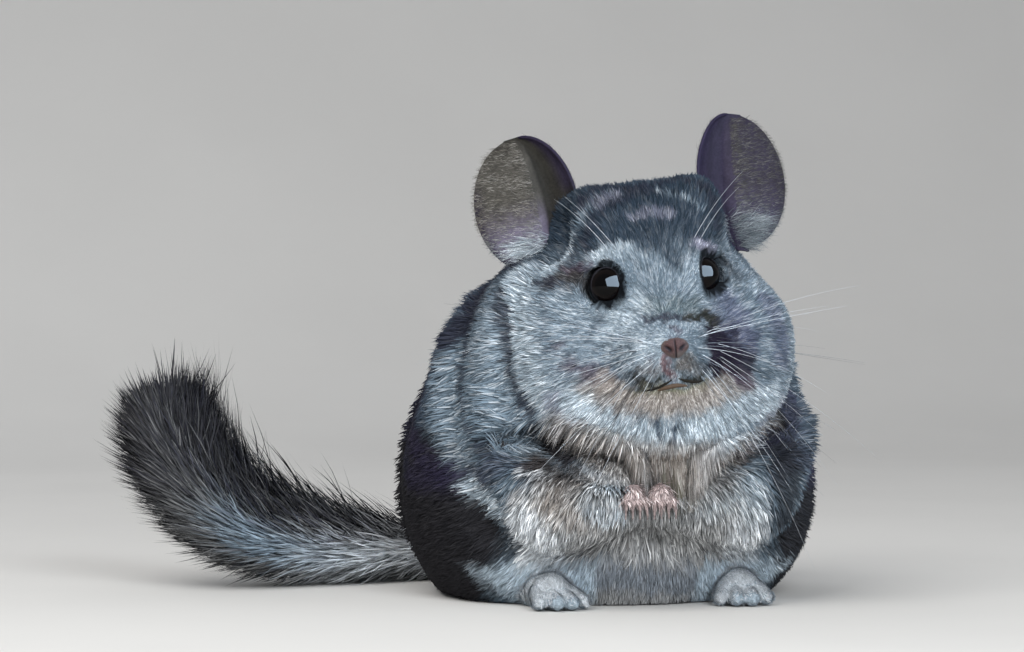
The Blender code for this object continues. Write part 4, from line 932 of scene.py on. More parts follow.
class ADD_OT_chinchilla_stage(bpy.types.Operator):
    """Camera at the photograph's angle, pale floor and soft light"""

    bl_idname = "chinchilla.stage"
    bl_label = "Stage"

    def execute(self, context):
        looks = context.scene.chinchilla.stage
        camera = bpy.data.objects.new("camera", bpy.data.cameras.new("camera"))
        context.scene.collection.objects.link(camera)
        level = math.cos(VIEW_ELEVATION)
        back = Vector((math.sin(VIEW_AZIMUTH) * level, -math.cos(VIEW_AZIMUTH) * level, math.sin(VIEW_ELEVATION)))
        camera.location = Vector(VIEW_TARGET) + back * VIEW_DISTANCE
        camera.rotation_euler = back.to_track_quat("Z", "Y").to_euler()
        camera.data.lens = VIEW_LENS
        camera.data.sensor_width = VIEW_FILM
        context.scene.camera = camera
        self.floor(context, looks)
        aim = Vector((-0.03, -0.03, 0.10))
        self.lamp(context, "window", (0.06, -1.25, 0.62), aim, (0.62, 0.52), looks.key, (0.93, 0.97, 1.0))
        self.lamp(context, "above", (-0.85, -0.75, 1.15), aim, (1.1, 1.1), looks.fill, (1.0, 0.985, 0.96))
        self.lamp(context, "rim", (-0.60, 0.95, 0.90), aim, (0.8, 0.8), 0.12 * looks.fill, (0.95, 0.97, 1.0))
        gleam = self.lamp(context, "gleam", (0.33, -0.98, 0.56), aim, (1.75, 1.35), looks.gleam, (0.62, 0.80, 1.0))
        gleam.visible_diffuse = False
        for lamp in ("window", "above"):
            bpy.data.objects[lamp].visible_glossy = False
        gleam.visible_camera = False
        world = bpy.data.worlds.new("sky")
        context.scene.world = world
        world.use_nodes = True
        world.node_tree.nodes["Background"].inputs["Color"].default_value = (0.86, 0.88, 0.92, 1)
        world.node_tree.nodes["Background"].inputs["Strength"].default_value = looks.sky
        context.scene.view_settings.view_transform = "Standard"
        return {"FINISHED"}

    def floor(self, context, looks):
        """A sheet that runs back and curves up into a wall: z = max(0, y - 0.9)^2 / 1.2."""
        y = np.concatenate([np.linspace(-3, 0.9, 14), np.linspace(1.0, 2.6, 24)])
        x = np.linspace(-3.5, 3.5, 15)
        gx, gy = np.meshgrid(x, y)
        points = np.stack([gx, gy, np.maximum(0, gy - 0.9) ** 2 / 1.2], axis=-1).reshape(-1, 3)
        finish = Finish("floor", Roughness=0.9, Specular_IOR_Level=0.0)
        grain = finish.noise(6.0, finish.place(), 4.0).step(0.3, 0.7)
        tone = tuple(looks.floor)
        finish.shade("Base Color", finish.mix(grain, tone, tuple(c * 0.97 for c in tone)))
        quads = grid_faces(len(y), len(x), False)
        mesh = bpy.data.meshes.new("floor")
        mesh.from_pydata(points.tolist(), [], quads.tolist())
        mesh.shade_smooth()
        mesh.materials.append(finish.material)
        floor = bpy.data.objects.new("floor", mesh)
        context.scene.collection.objects.link(floor)

    def lamp(self, context, name, place, aim, size, power, colour):
        lamp = bpy.data.lights.new(name, "AREA")
        lamp.shape = "RECTANGLE"
        lamp.size, lamp.size_y = size
        lamp.energy = power
        lamp.color = colour
        obj = bpy.data.objects.new(name, lamp)
        obj.location = place
        obj.rotation_euler = (Vector(place) - aim).to_track_quat("Z", "Y").to_euler()
        context.scene.collection.objects.link(obj)
        return obj


class ADD_OT_chinchilla_skin(bpy.types.Operator):
    """One skin for the body, limbs and tail, lying inside the solids by the coat's depth"""

    bl_idname = "chinchilla.skin"
    bl_label = "Skin"

    def execute(self, context):
        looks = context.scene.chinchilla.coat
        core = tail_core_object()
        points, triangles = merged_nodes("body", FLESH, 0.0004, BODY_VOXEL, core)
        bpy.data.objects.remove(core)
        points = relaxed(points, triangles, 4)
        normals = point_normals(points, triangles)
        on_tail = smooth(-points[:, 0], 0.060, 0.070) * smooth(points[:, 1], 0.028, 0.034)
        depth = (coat_depth(points) + 0.0004) * (1 - on_tail)
        points = relaxed(points - normals * depth[:, None], triangles, 3)
        points[:, 2] = np.maximum(points[:, 2], 0.0003)
        h = to_head(points)
        for side in (-1, 1):
            hollow = np.exp(-(((h - (side * 0.041, -0.004, 0.022)) ** 2).sum(axis=1)) / 0.0150**2)
            points += hollow[:, None] * (HEAD_AXES @ np.array((-side * 0.0125, 0.0, -0.001)))
        for side in (-1, 1):
            rim, far = from_eye(side, points)
            sunk = (1 - smooth(far, 0.0110, 0.0125)) * (1 - smooth(rim, 0.94, 1.03))
            wanted = np.where(sunk > 0, far - np.maximum(far - SOCKET_RADIUS, 0) * sunk, far)
            wanted = np.where((sunk < 0.5) & (far < FACE_RADIUS), FACE_RADIUS, wanted)
            points = eye_centre(side) + (points - eye_centre(side)) * (wanted / far)[:, None]
        limbs, limb_triangles = merged_nodes("limbs", SMALL, 0.0, LIMB_VOXEL)
        limbs = relaxed(limbs, limb_triangles, 3)
        everything = np.concatenate([points, limbs])
        corners = np.concatenate([triangles, limb_triangles + len(points)])
        turned = np.concatenate([point_normals(points, triangles), point_normals(limbs, limb_triangles)])
        shade = markings_and_shade(everything, turned, looks)
        paws = np.concatenate([np.zeros(len(points)), smooth(limbs[:, 2], 0.028, 0.032)])
        shade = mixed(shade, np.array(looks.paw), paws)
        skin = plot(
            "skin", everything, corners.ravel(), np.full(len(corners), 3), None, {"shade": shade}, skin_finish()
        )
        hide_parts(*FLESH, *SMALL, "tail_root", "tail_middle", "tail_tip")
        SKIN["body"] = (points, triangles)
        SKIN["limbs"] = (limbs, limb_triangles)
        SKIN["tree"] = BVHTree.FromPolygons(points.tolist(), triangles.tolist())
        return {"FINISHED"}


SKIN = {}


def face_point(x, z, proud=0.0):
    """Where the skin of the face is, ahead of a place of the head's own x and z, and its normal."""
    start = from_head(np.array((x, -0.09, z)))
    way = np.array((0.0, 1.0, 0.0)) @ HEAD_AXES.T
    hit, normal, _, _ = SKIN["tree"].ray_cast(Vector(start), Vector(way))
    if hit is None:
        return from_head(np.array((x, -0.03, z))), -way
    return np.array(hit) + np.array(normal) * proud, np.array(normal)


class ADD_OT_chinchilla_coat(bpy.types.Operator):
    """The coat of the head, trunk and limbs, in tufts that lie back from the nose"""

    bl_idname = "chinchilla.coat"
    bl_label = "Coat"

    def execute(self, context):
        looks = context.scene.chinchilla.coat
        draw = np.random.default_rng(11)
        material = coat_finish("coat")
        points, triangles = SKIN["body"]
        middle = points[triangles].mean(axis=1)
        on_tail = smooth(-middle[:, 0], 0.060, 0.066) * smooth(middle[:, 1], 0.028, 0.034)
        head = smooth((middle - HEAD_CENTRE) @ HEAD_AXIS, -0.0245, -0.0235)
        bare = 0
        for side in (-1, 1):
            rim, far = from_eye(side, middle)
            bare = bare + (1 - smooth(rim, 1.00, 1.05)) * (1 - smooth(far, 0.011, 0.012))
        h = to_head(middle)
        bare += in_spot(h, (-0.0002, -0.050, -0.0226), (0.0050, 0.006, 0.0036), 0.2)
        bare += in_spot(h, (-0.0018, -0.045, -0.0374), (0.0058, 0.008, 0.0012), 0.3)
        bare = np.clip(bare, 0, 1)
        face = 0.35 + 1.4 * (1 - smooth(np.linalg.norm(h - NOSE_TIP, axis=1), 0.020, 0.075)) + 2.2 * chest(middle)
        weight = head * (1 - bare) * face
        self.cover("coat_head", 3, weight, looks.head_tufts, 2, 0.00038, draw, HEAD_CENTRE, looks, material, 0.95)
        front = 0.7 + 0.6 * smooth(-middle[:, 1], 0.0, 0.04) + 1.5 * chest(middle)
        under = 0.25 + 0.75 * smooth(middle[:, 2], 0.001, 0.006)
        weight = (1 - head) * (1 - on_tail) * front * under
        centre = np.array((0.0, 0.012, 0.062))
        self.cover("coat_body", 4, weight, looks.body_tufts, 3, 0.00056, draw, centre, looks, material, 1.0)
        self.limbs(looks, draw)
        return {"FINISHED"}

    def cover(self, name, lots, weight, count, steps, wide, draw, centre, looks, material, longer):
        """Tufts over the weighted part of the body, dealt out in turn to a few pieces of mesh."""
        points, triangles = SKIN["body"]
        normals = point_normals(points, triangles)
        chosen, share = scatter(points, triangles, weight, count, draw)
        roots = (points[triangles[chosen]] * share[..., None]).sum(axis=1)
        up = unit((normals[triangles[chosen]] * share[..., None]).sum(axis=1))
        way = lie(roots, up)
        clump = Waves(0.012, 31).slope(roots) * 0.00030 + Waves(0.0035, 32).slope(roots) * 0.00008
        way = unit(way + clump + draw.normal(0, 0.05, (count, 3)))
        way = unit(way - up * (way * up).sum(axis=1, keepdims=True))
        ruff = chest(roots)
        way = unit(mixed(way, np.array((0.0, -0.30, -0.95)), 0.85 * ruff))
        length = coat_length(roots) * longer * draw.uniform(0.75, 1.25, count)
        width = wide * draw.uniform(0.7, 1.3, count) * np.clip(length / 0.006, 0.6, 1.15)
        rise = draw.normal(0.25, 0.04, count).clip(0.12, 0.40)
        rise = rise * (1 - 0.6 * ruff) * (1 - 0.45 * smooth(roots[:, 1], -0.020, 0.010))
        curl = draw.normal(0, 0.07, count)
        uv = octahedral(roots - centre)
        for lot in range(lots):
            pick = slice(lot, None, lots)
            piece = tufts(
                f"{name}_{lot + 1}",
                (roots[pick], up[pick], way[pick]),
                (length[pick], width[pick], rise[pick], curl[pick]),
                looks, steps, draw, uv[pick], material,
            )

    def limbs(self, looks, draw):
        """Very short hair on the feet, running to the toes."""
        points, triangles = SKIN["limbs"]
        normals = point_normals(points, triangles)
        middle = points[triangles].mean(axis=1)
        feet = (1 - smooth(middle[:, 2], 0.018, 0.022)) * (0.15 + smooth(middle[:, 2], 0.001, 0.004))
        feet *= 1 - smooth(-middle[:, 1], 0.058, 0.064)
        paws = 0.35 * smooth(middle[:, 2], 0.0415, 0.0445)
        count = 16000
        chosen, share = scatter(points, triangles, feet + paws, count, draw)
        roots = (points[triangles[chosen]] * share[..., None]).sum(axis=1)
        up = unit((normals[triangles[chosen]] * share[..., None]).sum(axis=1))
        low = 1 - smooth(roots[:, 2], 0.02, 0.03)
        way = mixed(np.array((0, -0.2, -1.0)), np.array((0, -1.0, -0.25)), low)
        way = unit(way + draw.normal(0, 0.14, (count, 3)))
        way = unit(way - up * (way * up).sum(axis=1, keepdims=True))
        length = mixed(np.array((0.0036,)), np.array((0.0024,)), low)[:, 0] * draw.uniform(0.7, 1.3, count)
        width = np.full(count, 0.00042)
        rise = draw.normal(0.25, 0.08, count).clip(0.08, 0.5)
        shade = mixed(1.25 * np.array(looks.paw), 0.80 * np.array(looks.chalk), low)
        uv = octahedral(roots - np.array((0.0, -0.040, 0.022)))
        frames = (roots, up, way)
        shape = (length, width, rise, draw.normal(0, 0.1, count))
        material = coat_finish("foot_fur", 0.85, 0.12)
        piece = tufts("coat_feet", frames, shape, looks, 2, draw, uv, material, shade)


class ADD_OT_chinchilla_tail(bpy.types.Operator):
    """The tail's brush, in long locks that rise from the bone and lie over towards the tip"""

    bl_idname = "chinchilla.tail"
    bl_label = "Tail Brush"

    def execute(self, context):
        looks = context.scene.chinchilla.coat
        draw = np.random.default_rng(12)
        lots, total = 2, looks.tail_tufts
        for lot in range(lots):
            piece = self.brush(f"coat_tail_{lot + 1}", total // lots, looks, draw)
        return {"FINISHED"}

    def brush(self, name, count, looks, draw):
        """Bent locks: (1-t)^2 root + 2t(1-t) bend + t^2 tip, with flat four-cornered steps."""
        share = 0.15 + 0.85 * draw.uniform(0, 1, count) ** 0.9
        angle = draw.uniform(0, 2 * math.pi, count)
        here, way, above, beside = tail_frames(share)
        up, out = np.cos(angle), np.sin(angle)
        vertical = np.where(up > 0, along_table(REACH_ABOVE, share), along_table(REACH_BELOW, share))
        length = draw.uniform(0.62, 1.06, count)
        stray = (draw.uniform(0, 1, count) < 0.10) & (up > 0.3)
        length = length * np.where(stray, 1.22, 1.0)
        reach = np.hypot(vertical * up, along_table(REACH_BESIDE, share) * out) * length
        outward = unit(above * up[:, None] + beside * out[:, None])
        run = (0.011 + 0.46 * reach) * length
        core = along_table(TAIL_CORE, share) * 0.9
        jitter = draw.normal(0, 0.0030, (count, 3)) * np.where(stray, 1.8, 1.0)[:, None]
        root = here + outward * core[:, None]
        bend = here + outward * (0.30 * core + 0.66 * reach)[:, None] + way * (0.34 * run)[:, None] + 0.4 * jitter
        tip = here + outward * reach[:, None] + way * run[:, None] + jitter
        flat = unit(np.cross(way, outward))
        roll = draw.uniform(-0.6, 0.6, count)[:, None, None]
        t = np.linspace(0, 1, 5)[None, :, None]
        root, bend, tip = root[:, None], bend[:, None], tip[:, None]
        lines = (1 - t) ** 2 * root + 2 * t * (1 - t) * bend + t**2 * tip
        tangent = unit((1 - t) * (bend - root) + t * (tip - bend))
        across = flat[:, None] * np.cos(roll) + np.cross(tangent, flat[:, None]) * np.sin(roll)
        taper = np.interp(t[:, :, 0], (0, 0.4, 0.8, 1), (0.8, 1, 0.6, 0))
        widths = draw.uniform(0.00045, 0.00095, count)[:, None] * taper
        lot = draw.uniform(0, 1, count)
        hair = np.stack([lot, np.clip(draw.normal(1, 0.25, count), 0.4, 1.9)], axis=1)
        uv = np.stack([0.01 + 0.98 * angle / (2 * math.pi), 0.01 + 0.98 * share], axis=1)
        shade = self.colours(share, up, lot, looks, draw)
        facing = unit(outward + 0.3 * above)
        return ribbons(name, lines, across, widths, uv, hair, shade, facing, coat_finish("brush", 0.5, 0.5))

    def colours(self, share, up, lot, looks, draw):
        """Dark above and at the end, with a pale band along the flanks, grey beneath and a silver root."""
        night, soot, silver, ash, chalk = (
            np.array(getattr(looks, key)) for key in ("night", "soot", "silver", "ash", "chalk")
        )
        band = (1 - smooth(np.abs(up + 0.02), 0.22, 0.60)) * (1 - smooth(share, 0.52, 0.72))
        shade = mixed(0.42 * ash, 0.6 * ash, draw.uniform(0, 1, len(share)))
        shade = mixed(shade, np.array(looks.violet_pale), 0.6 * smooth(up, 0.1, 0.4) * smooth(lot, 0.3, 0.5))
        shade = mixed(shade, silver, band)
        shade = mixed(shade, chalk, 0.95 * (1 - smooth(share, 0.26, 0.50)) * (0.45 + 0.55 * band))
        shade = mixed(shade, soot, 0.92 * smooth(up + 0.7 * share, 0.62, 0.95) * (0.6 + 0.4 * smooth(lot, 0.2, 0.3)))
        shade = mixed(shade, 1.6 * soot, 0.85 * smooth(share, 0.60, 0.80))
        some = smooth(lot, 0.55, 0.6) * (1 - smooth(lot, 0.72, 0.76))
        shade = mixed(shade, night, 0.6 * some * smooth(share, 0.25, 0.4))
        shade = mixed(shade, 0.5 * ash, 0.6 * smooth(lot, 0.86, 0.90))
        return shade


class ADD_OT_chinchilla_eyes(bpy.types.Operator):
    """Wet black eyes with a trace of brown iris, each in a dark lid"""

    bl_idname = "chinchilla.eyes"
    bl_label = "Eyes"

    def execute(self, context):
        looks = context.scene.chinchilla.face
        ball, lid = self.ball_finish(looks), self.lid_finish()
        for side, word in ((-1, "right"), (1, "left")):
            look, across, up, _, _ = eye_axes(side)
            self.ball(word, eye_centre(side), look, across, up, ball)
            self.lid(side, word, eye_centre(side), look, across, up, lid)
        return {"FINISHED"}

    def ball(self, word, centre, look, across, up, material):
        """A globe of radius r, and r (1 + 0.035 (1 - (a / 0.7)^2)^2) at its cornea, at an angle a under 0.7."""
        polar = np.linspace(0, math.pi, 49)[:, None]
        turn = np.linspace(0, 2 * math.pi, 64, endpoint=False)[None, :]
        radius = GLOBE_RADIUS * (1 + 0.035 * np.clip(1 - (polar / 0.7) ** 2, 0, 1) ** 2)
        ring = np.cos(turn)[..., None] * across + np.sin(turn)[..., None] * up
        points = centre + (radius * np.cos(polar))[..., None] * look + (radius * np.sin(polar))[..., None] * ring
        rim = np.broadcast_to(polar, (49, 64)).reshape(-1)
        info = np.stack([rim, np.broadcast_to(turn, (49, 64)).reshape(-1), 0 * rim], axis=1)
        quads = grid_faces(49, 64, True)[:, ::-1]
        eye = plot_quads(f"eyeball_{word}", points, quads, material, {"globe": info})
        outward(eye, merged=True)
        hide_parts(f"eye_{word}")

    def ball_finish(self, looks):
        made = Finish("eye", Roughness=0.04, Specular_IOR_Level=0.13)
        away = made.read("globe", 0)
        iris = away.step(0.50, 0.60) * (1 - away.step(0.78, 0.95))
        streak = made.noise(40.0, made.read("globe"), 3.0).step(0.3, 0.7, 0.4, 1.0)
        made.shade("Base Color", made.mix(iris * streak, tuple(looks.eye_black), tuple(looks.iris)))
        return made.material

    def lid(self, side, word, centre, look, across, up, material):
        """A soft rim round the opening: a thin tube whose middle runs on the globe along the oval, thicker above."""
        turn = np.linspace(0, 2 * math.pi, 72, endpoint=False)[:, None]
        tube = np.linspace(0, 2 * math.pi, 14, endpoint=False)[None, :]
        open_angle = opening(side, turn)
        ring = np.cos(turn)[..., None] * across + np.sin(turn)[..., None] * up
        direction = np.cos(open_angle)[..., None] * look + np.sin(open_angle)[..., None] * ring
        tangent = -np.sin(open_angle)[..., None] * look + np.cos(open_angle)[..., None] * ring
        thick = LID_THICKNESS * (1 + 0.35 * np.sin(turn))
        lift, spread = thick * np.cos(tube), 1.5 * thick * np.sin(tube)
        points = centre + (LID_RADIUS + lift)[..., None] * direction + spread[..., None] * tangent
        quads = grid_faces(72, 14, True)
        first, after = np.arange(14), (np.arange(14) + 1) % 14
        quads = np.concatenate([quads, np.stack([first + 71 * 14, after + 71 * 14, after, first], 1)])
        lid = plot_quads(f"eyelid_{word}", points, quads, material)
        outward(lid)

    def lid_finish(self):
        made = Finish("eyelid", Roughness=0.8, Specular_IOR_Level=0.05)
        grain = made.noise(1400.0, made.place(), 2.0)
        made.shade("Base Color", made.mix(grain, (0.004, 0.003, 0.004), (0.014, 0.011, 0.013)))
        made.bump(grain, 0.0003, 0.5)
        return made.material


def outward(obj, merged=False):
    """Turns the faces of a closed piece outwards, once the points that share a place at its poles are merged."""
    bm = bmesh.new()
    bm.from_mesh(obj.data)
    if merged:
        bmesh.ops.remove_doubles(bm, verts=bm.verts[:], dist=1e-7)
    bmesh.ops.recalc_face_normals(bm, faces=bm.faces[:])
    bm.to_mesh(obj.data)
    bm.free()


class ADD_OT_chinchilla_muzzle(bpy.types.Operator):
    """The bare nose with its nostrils and slit, and the lips"""

    bl_idname = "chinchilla.muzzle"
    bl_label = "Muzzle"

    def execute(self, context):
        looks = context.scene.chinchilla.face
        self.nose(looks)
        self.lips(looks)
        return {"FINISHED"}

    def nose(self, looks):
        """A pad: 2.6 (1 - r^2)^0.5 mm proud over an oval, less a slit down its middle and a comma at each side."""
        u, v = np.meshgrid(np.linspace(-1, 1, 80), np.linspace(-1, 1, 72))
        x = 0.0056 * u * np.sqrt(1 - 0.5 * v**2) * (1 - 0.30 * np.clip(-v, 0, 1) ** 1.5)
        z = 0.0043 * v * np.sqrt(1 - 0.5 * u**2)
        r = np.clip(np.hypot(u * np.sqrt(1 - 0.5 * v**2), v * np.sqrt(1 - 0.5 * u**2)), 0, 1) ** 2
        proud = 0.0026 * (1 - r) ** 0.5
        slit = np.exp(-((x / 0.00034) ** 2)) * (1 - smooth(z, 0.0020, 0.0040))
        hook = z - 0.0001 - 0.42 * (np.abs(x) - 0.0026)
        comma = np.exp(-(((np.abs(x) - 0.0029) / 0.0012) ** 2) - (hook / 0.00070) ** 2)
        wing = np.exp(-(((np.abs(x) - 0.0021) / 0.0008) ** 2) - ((z + 0.0009) / 0.0008) ** 2)
        proud = proud - 0.0004 * slit - 0.0005 * comma - 0.0003 * wing
        centre, _ = face_point(-0.0002, -0.0226)
        base = to_head(centre[None])[0]
        local = np.stack([base[0] + x, base[1] + 0.0017 - proud, base[2] + z], axis=-1)
        points = from_head(local.reshape(-1, 3))
        # Near black in the slit, the nostrils and beside them: painted shade in these hollows
        dark = np.clip(slit + 1.2 * comma + 0.8 * wing, 0, 1)
        furred = smooth(r, 0.40, 0.90) * 0.65 + smooth(-z, 0.0006, 0.0028) * (0.35 + 0.65 * smooth(x, -0.001, 0.001))
        info = np.stack([dark.ravel(), np.clip(furred, 0, 1).ravel(), 0 * r.ravel()], axis=1)
        quads = grid_faces(72, 80, False)
        made = Finish("nose", Roughness=0.6, Specular_IOR_Level=0.04)
        pebble = made.noise(2600.0, made.place(), 2.0)
        tone = tuple(looks.nose)
        bare = made.mix(pebble.step(0.3, 0.7), tuple(0.7 * c for c in tone), tuple(1.3 * c for c in tone))
        bare = made.mix(made.read("pad", 1), bare, (0.110, 0.092, 0.088))
        # Painted shade in the slit and nostrils
        made.shade("Base Color", made.mix(made.read("pad", 0), bare, (0.008, 0.005, 0.006)))
        made.bump(pebble, 0.0003, 0.7)
        nose = plot_quads("nose", points, quads, made.material, {"pad": info})

    def lips(self, looks):
        """Soft rolls along the mouth: tubes that taper at both ends, their middles following the skin."""
        # The upper lips near black: painted shade under the lip's edge
        upper = Finish("upper_lip", Roughness=0.9, Specular_IOR_Level=0.02)
        grain = upper.noise(1500.0, upper.place(), 2.0)
        upper.shade("Base Color", upper.mix(grain, (0.010, 0.009, 0.008), (0.030, 0.026, 0.020)))
        lower = Finish("lower_lip", Roughness=0.6, Specular_IOR_Level=0.02)
        grain = lower.noise(1500.0, lower.place(), 2.0)
        tone = tuple(looks.lip)
        lower.shade("Base Color", lower.mix(grain, tone, tuple(0.6 * c for c in tone)))
        right = [(-0.0010, -0.0340), (-0.0045, -0.0360), (-0.0090, -0.0376), (-0.0142, -0.0380)]
        left = [(-0.0004, -0.0340), (0.0027, -0.0356), (0.0076, -0.0368), (0.0114, -0.0362)]
        self.roll("upper_lip_right", right, 0.00070, upper.material)
        self.roll("upper_lip_left", left, 0.00070, upper.material)
        line = [(-0.0078, -0.0384), (-0.0046, -0.0374), (0.0, -0.0370), (0.0040, -0.0378)]
        self.roll("lower_lip", line, 0.0010, lower.material)

    def roll(self, name, line, radius, material):
        steps, sides = 24, 12
        line = np.array(line)
        share = np.linspace(0, 1, steps)
        x = np.interp(share, np.linspace(0, 1, len(line)), line[:, 0])
        z = np.interp(share, np.linspace(0, 1, len(line)), line[:, 1])
        places = np.array([face_point(a, b, -0.0002)[0] for a, b in zip(x, z)])
        for _ in range(4):
            places[1:-1] = (places[:-2] + 2 * places[1:-1] + places[2:]) / 4
        way = unit(np.gradient(places, axis=0))
        out = unit(np.cross(way, np.cross(HEAD_AXES @ np.array((0, -1.0, 0)), way)))
        side = np.cross(way, out)
        turn = np.linspace(0, 2 * math.pi, sides, endpoint=False)
        size = radius * np.sin(np.clip(share, 0.03, 0.97) * math.pi) ** 0.5
        ring = np.cos(turn)[None, :, None] * out[:, None] + np.sin(turn)[None, :, None] * side[:, None]
        points = places[:, None] + size[:, None, None] * ring
        roll = plot_quads(name, points, grid_faces(steps, sides, True), material)
        outward(roll)
        return roll


class ADD_OT_chinchilla_ears(bpy.types.Operator):
    """Large thin ears: a rim rolled in towards the head, a deep fold, a ridge and a broad lobe, with fine hair"""

    bl_idname = "chinchilla.ears"
    bl_label = "Ears"

    def execute(self, context):
        looks = context.scene.chinchilla
        material = self.finish(looks.ears)
        hair = coat_finish("ear_hair", 0.75, 0.2)
        for side, word in ((-1, "right"), (1, "left")):
            self.ear(side, word, looks, material, hair)
        return {"FINISHED"}

    def turn(self, side):
        splay = Matrix.Rotation(math.radians(11 * side), 3, "Y")
        yaw = Matrix.Rotation(math.radians(24 * side), 3, "Z")
        return np.array(HEAD_TURN @ splay @ yaw @ Matrix.Rotation(math.radians(-11), 3, "X"))

    def surface(self, side, u, v, looks):
        """The ear's middle surface: an egg rising from the root, with the rim, fold and lobe as its relief."""
        rim = 0.0050 * np.clip(-(u + 0.42) / 0.58, 0, 1) ** 2
        lobe = 0.0062 * (1 - np.clip((u + 0.14) / 1.14, 0, 1) ** 2)
        step = 1 / (1 + np.exp(-(u + 0.22) / 0.035))
        relief = rim + lobe * step * np.clip((0.97 - v) / 0.45, 0, 1) ** 0.6
        egg = np.sqrt(np.clip(1 - ((v**0.95 - 0.52) / 0.48) ** 2, 0.03, 1))
        across = looks.width / 2 * egg * np.sin(u * 1.3) / math.sin(1.3) + 0.002 * v
        back = 0.006 * v**2 - relief * np.minimum(egg * 1.3, 1)
        local = np.stack([side * across, back, looks.length * v + 0 * u], axis=-1)
        root = from_head(np.array((side * 0.0385, 0.0110, 0.0090)))
        return local.reshape(-1, 3) @ self.turn(side).T + root

    def ear(self, side, word, looks, material, hair):
        rows, columns = 72, 64
        v, u = np.meshgrid(np.sin(np.linspace(0, 1, rows) * math.pi / 2), np.linspace(-1, 1, columns), indexing="ij")
        middle = self.surface(side, u, v, looks.ears)
        leaf = self.leaf(middle, rows, columns)
        # Third value: 1 on the left ear, so its open face is darkened as painted shade, and 1 more on the back faces
        info = np.stack([u.ravel(), v.ravel(), 0 * u.ravel() + (1.0 if side > 0 else 0)], axis=1)
        quads = grid_faces(rows, columns, False)
        if side > 0:
            quads = quads[:, ::-1]
        count = len(middle)
        rim = self.rim_quads(rows, columns)
        if side > 0:
            rim = rim[:, ::-1]
        points = np.concatenate([middle + leaf * EAR_HALF_THICKNESS, middle - leaf * EAR_HALF_THICKNESS])
        edge = np.stack([rim[:, 1], rim[:, 0], rim[:, 0] + count, rim[:, 1] + count], 1)
        faces = np.concatenate([quads, quads[:, ::-1] + count, edge])
        info = np.concatenate([info, info + np.array((0, 0, 1))])
        ear = plot_quads(f"ear_leaf_{word}", points, faces, material, {"ear": info})
        outward(ear)
        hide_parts(f"ear_{word}")
        self.hair(side, word, looks, hair)

    def leaf(self, middle, rows, columns):
        """The way the ear's open face looks, from the slopes of its surface along both of its lines."""
        grid = middle.reshape(rows, columns, 3)
        normal = unit(np.cross(np.gradient(grid, axis=1), np.gradient(grid, axis=0)))
        facing = HEAD_AXES @ np.array((0, -1.0, 0))
        normal = normal * np.sign((normal * facing).sum(axis=-1).mean())
        return normal.reshape(-1, 3)

    def rim_quads(self, rows, columns):
        """Pairs of points that follow one another round the edge of the grid."""
        index = np.arange(rows * columns).reshape(rows, columns)
        edge = np.concatenate([index[0, :-1], index[:-1, -1], index[-1, :0:-1], index[:0:-1, 0]])
        return np.stack([edge, np.roll(edge, -1)], axis=1)

    def hair(self, side, word, looks, material):
        """Fine hair: pale and sparse over the open face, longer and whiter at the root, denser and dark behind."""
        draw = np.random.default_rng(50 + side)
        count = 9000
        front = np.arange(count) % 2 == 0
        rv = draw.uniform(0.01, 0.97, 4 * count)
        rv = rv[draw.uniform(0, 1, 4 * count) ** 2 < 1 - ((rv - 0.52) / 0.48) ** 2][:count]
        ru = draw.uniform(-1, 1, count)
        ru = np.where(front, -0.20 + 1.15 * ((ru + 1) / 2) ** 1.5, ru)
        tuft = front & (np.arange(count) % 8 == 0)
        ru = np.where(tuft, draw.uniform(-0.75, 0.25, count), ru)
        rv = np.where(tuft, draw.uniform(0.02, 0.24, count), rv)
        roots = self.surface(side, ru, rv, looks.ears)
        step = 0.01
        along_u = unit(self.surface(side, ru + step, rv, looks.ears) - roots)
        along_v = unit(self.surface(side, ru, rv + step, looks.ears) - roots)
        normal = unit(np.cross(along_u, along_v))
        facing = HEAD_AXES @ np.array((0, -1.0, 0))
        normal *= np.sign((normal @ facing))[:, None]
        up = np.where(front[:, None], normal, -normal)
        inward = np.where(front[:, None], along_u + 0.15 * along_v, along_v)
        way = unit(inward + draw.normal(0, 0.22, (count, 3)))
        way = unit(way - up * (way * up).sum(axis=1, keepdims=True))
        low = 1 - smooth(rv, 0.10, 0.45)
        length = (0.0034 + 0.0055 * tuft) * draw.uniform(0.6, 1.3, count)
        width = 0.00012 * draw.uniform(0.7, 1.3, count)
        rise = draw.normal(0.22, 0.08, count).clip(0.05, 0.6)
        coat = looks.coat
        pale = mixed(np.array(looks.ears.hair), np.array(coat.frost), np.maximum(0.6 * low, 0.8 * tuft))
        dark = np.tile(np.array(coat.night), (count, 1))
        # The left ear's pale hair at half brightness, as painted shade
        shade = np.where(front[:, None], pale * (0.5 if side > 0 else 1.0), dark)
        uv = np.stack([0.02 + 0.47 * (ru + 1) / 2 + 0.49 * ~front, 0.02 + 0.96 * rv], axis=1)
        roots = roots + up * 0.0005
        frames, shape = (roots, up, way), (length, width, rise, draw.normal(0, 0.12, count))
        piece = tufts(f"coat_ear_{word}", frames, shape, coat, 2, draw, uv, material, shade)

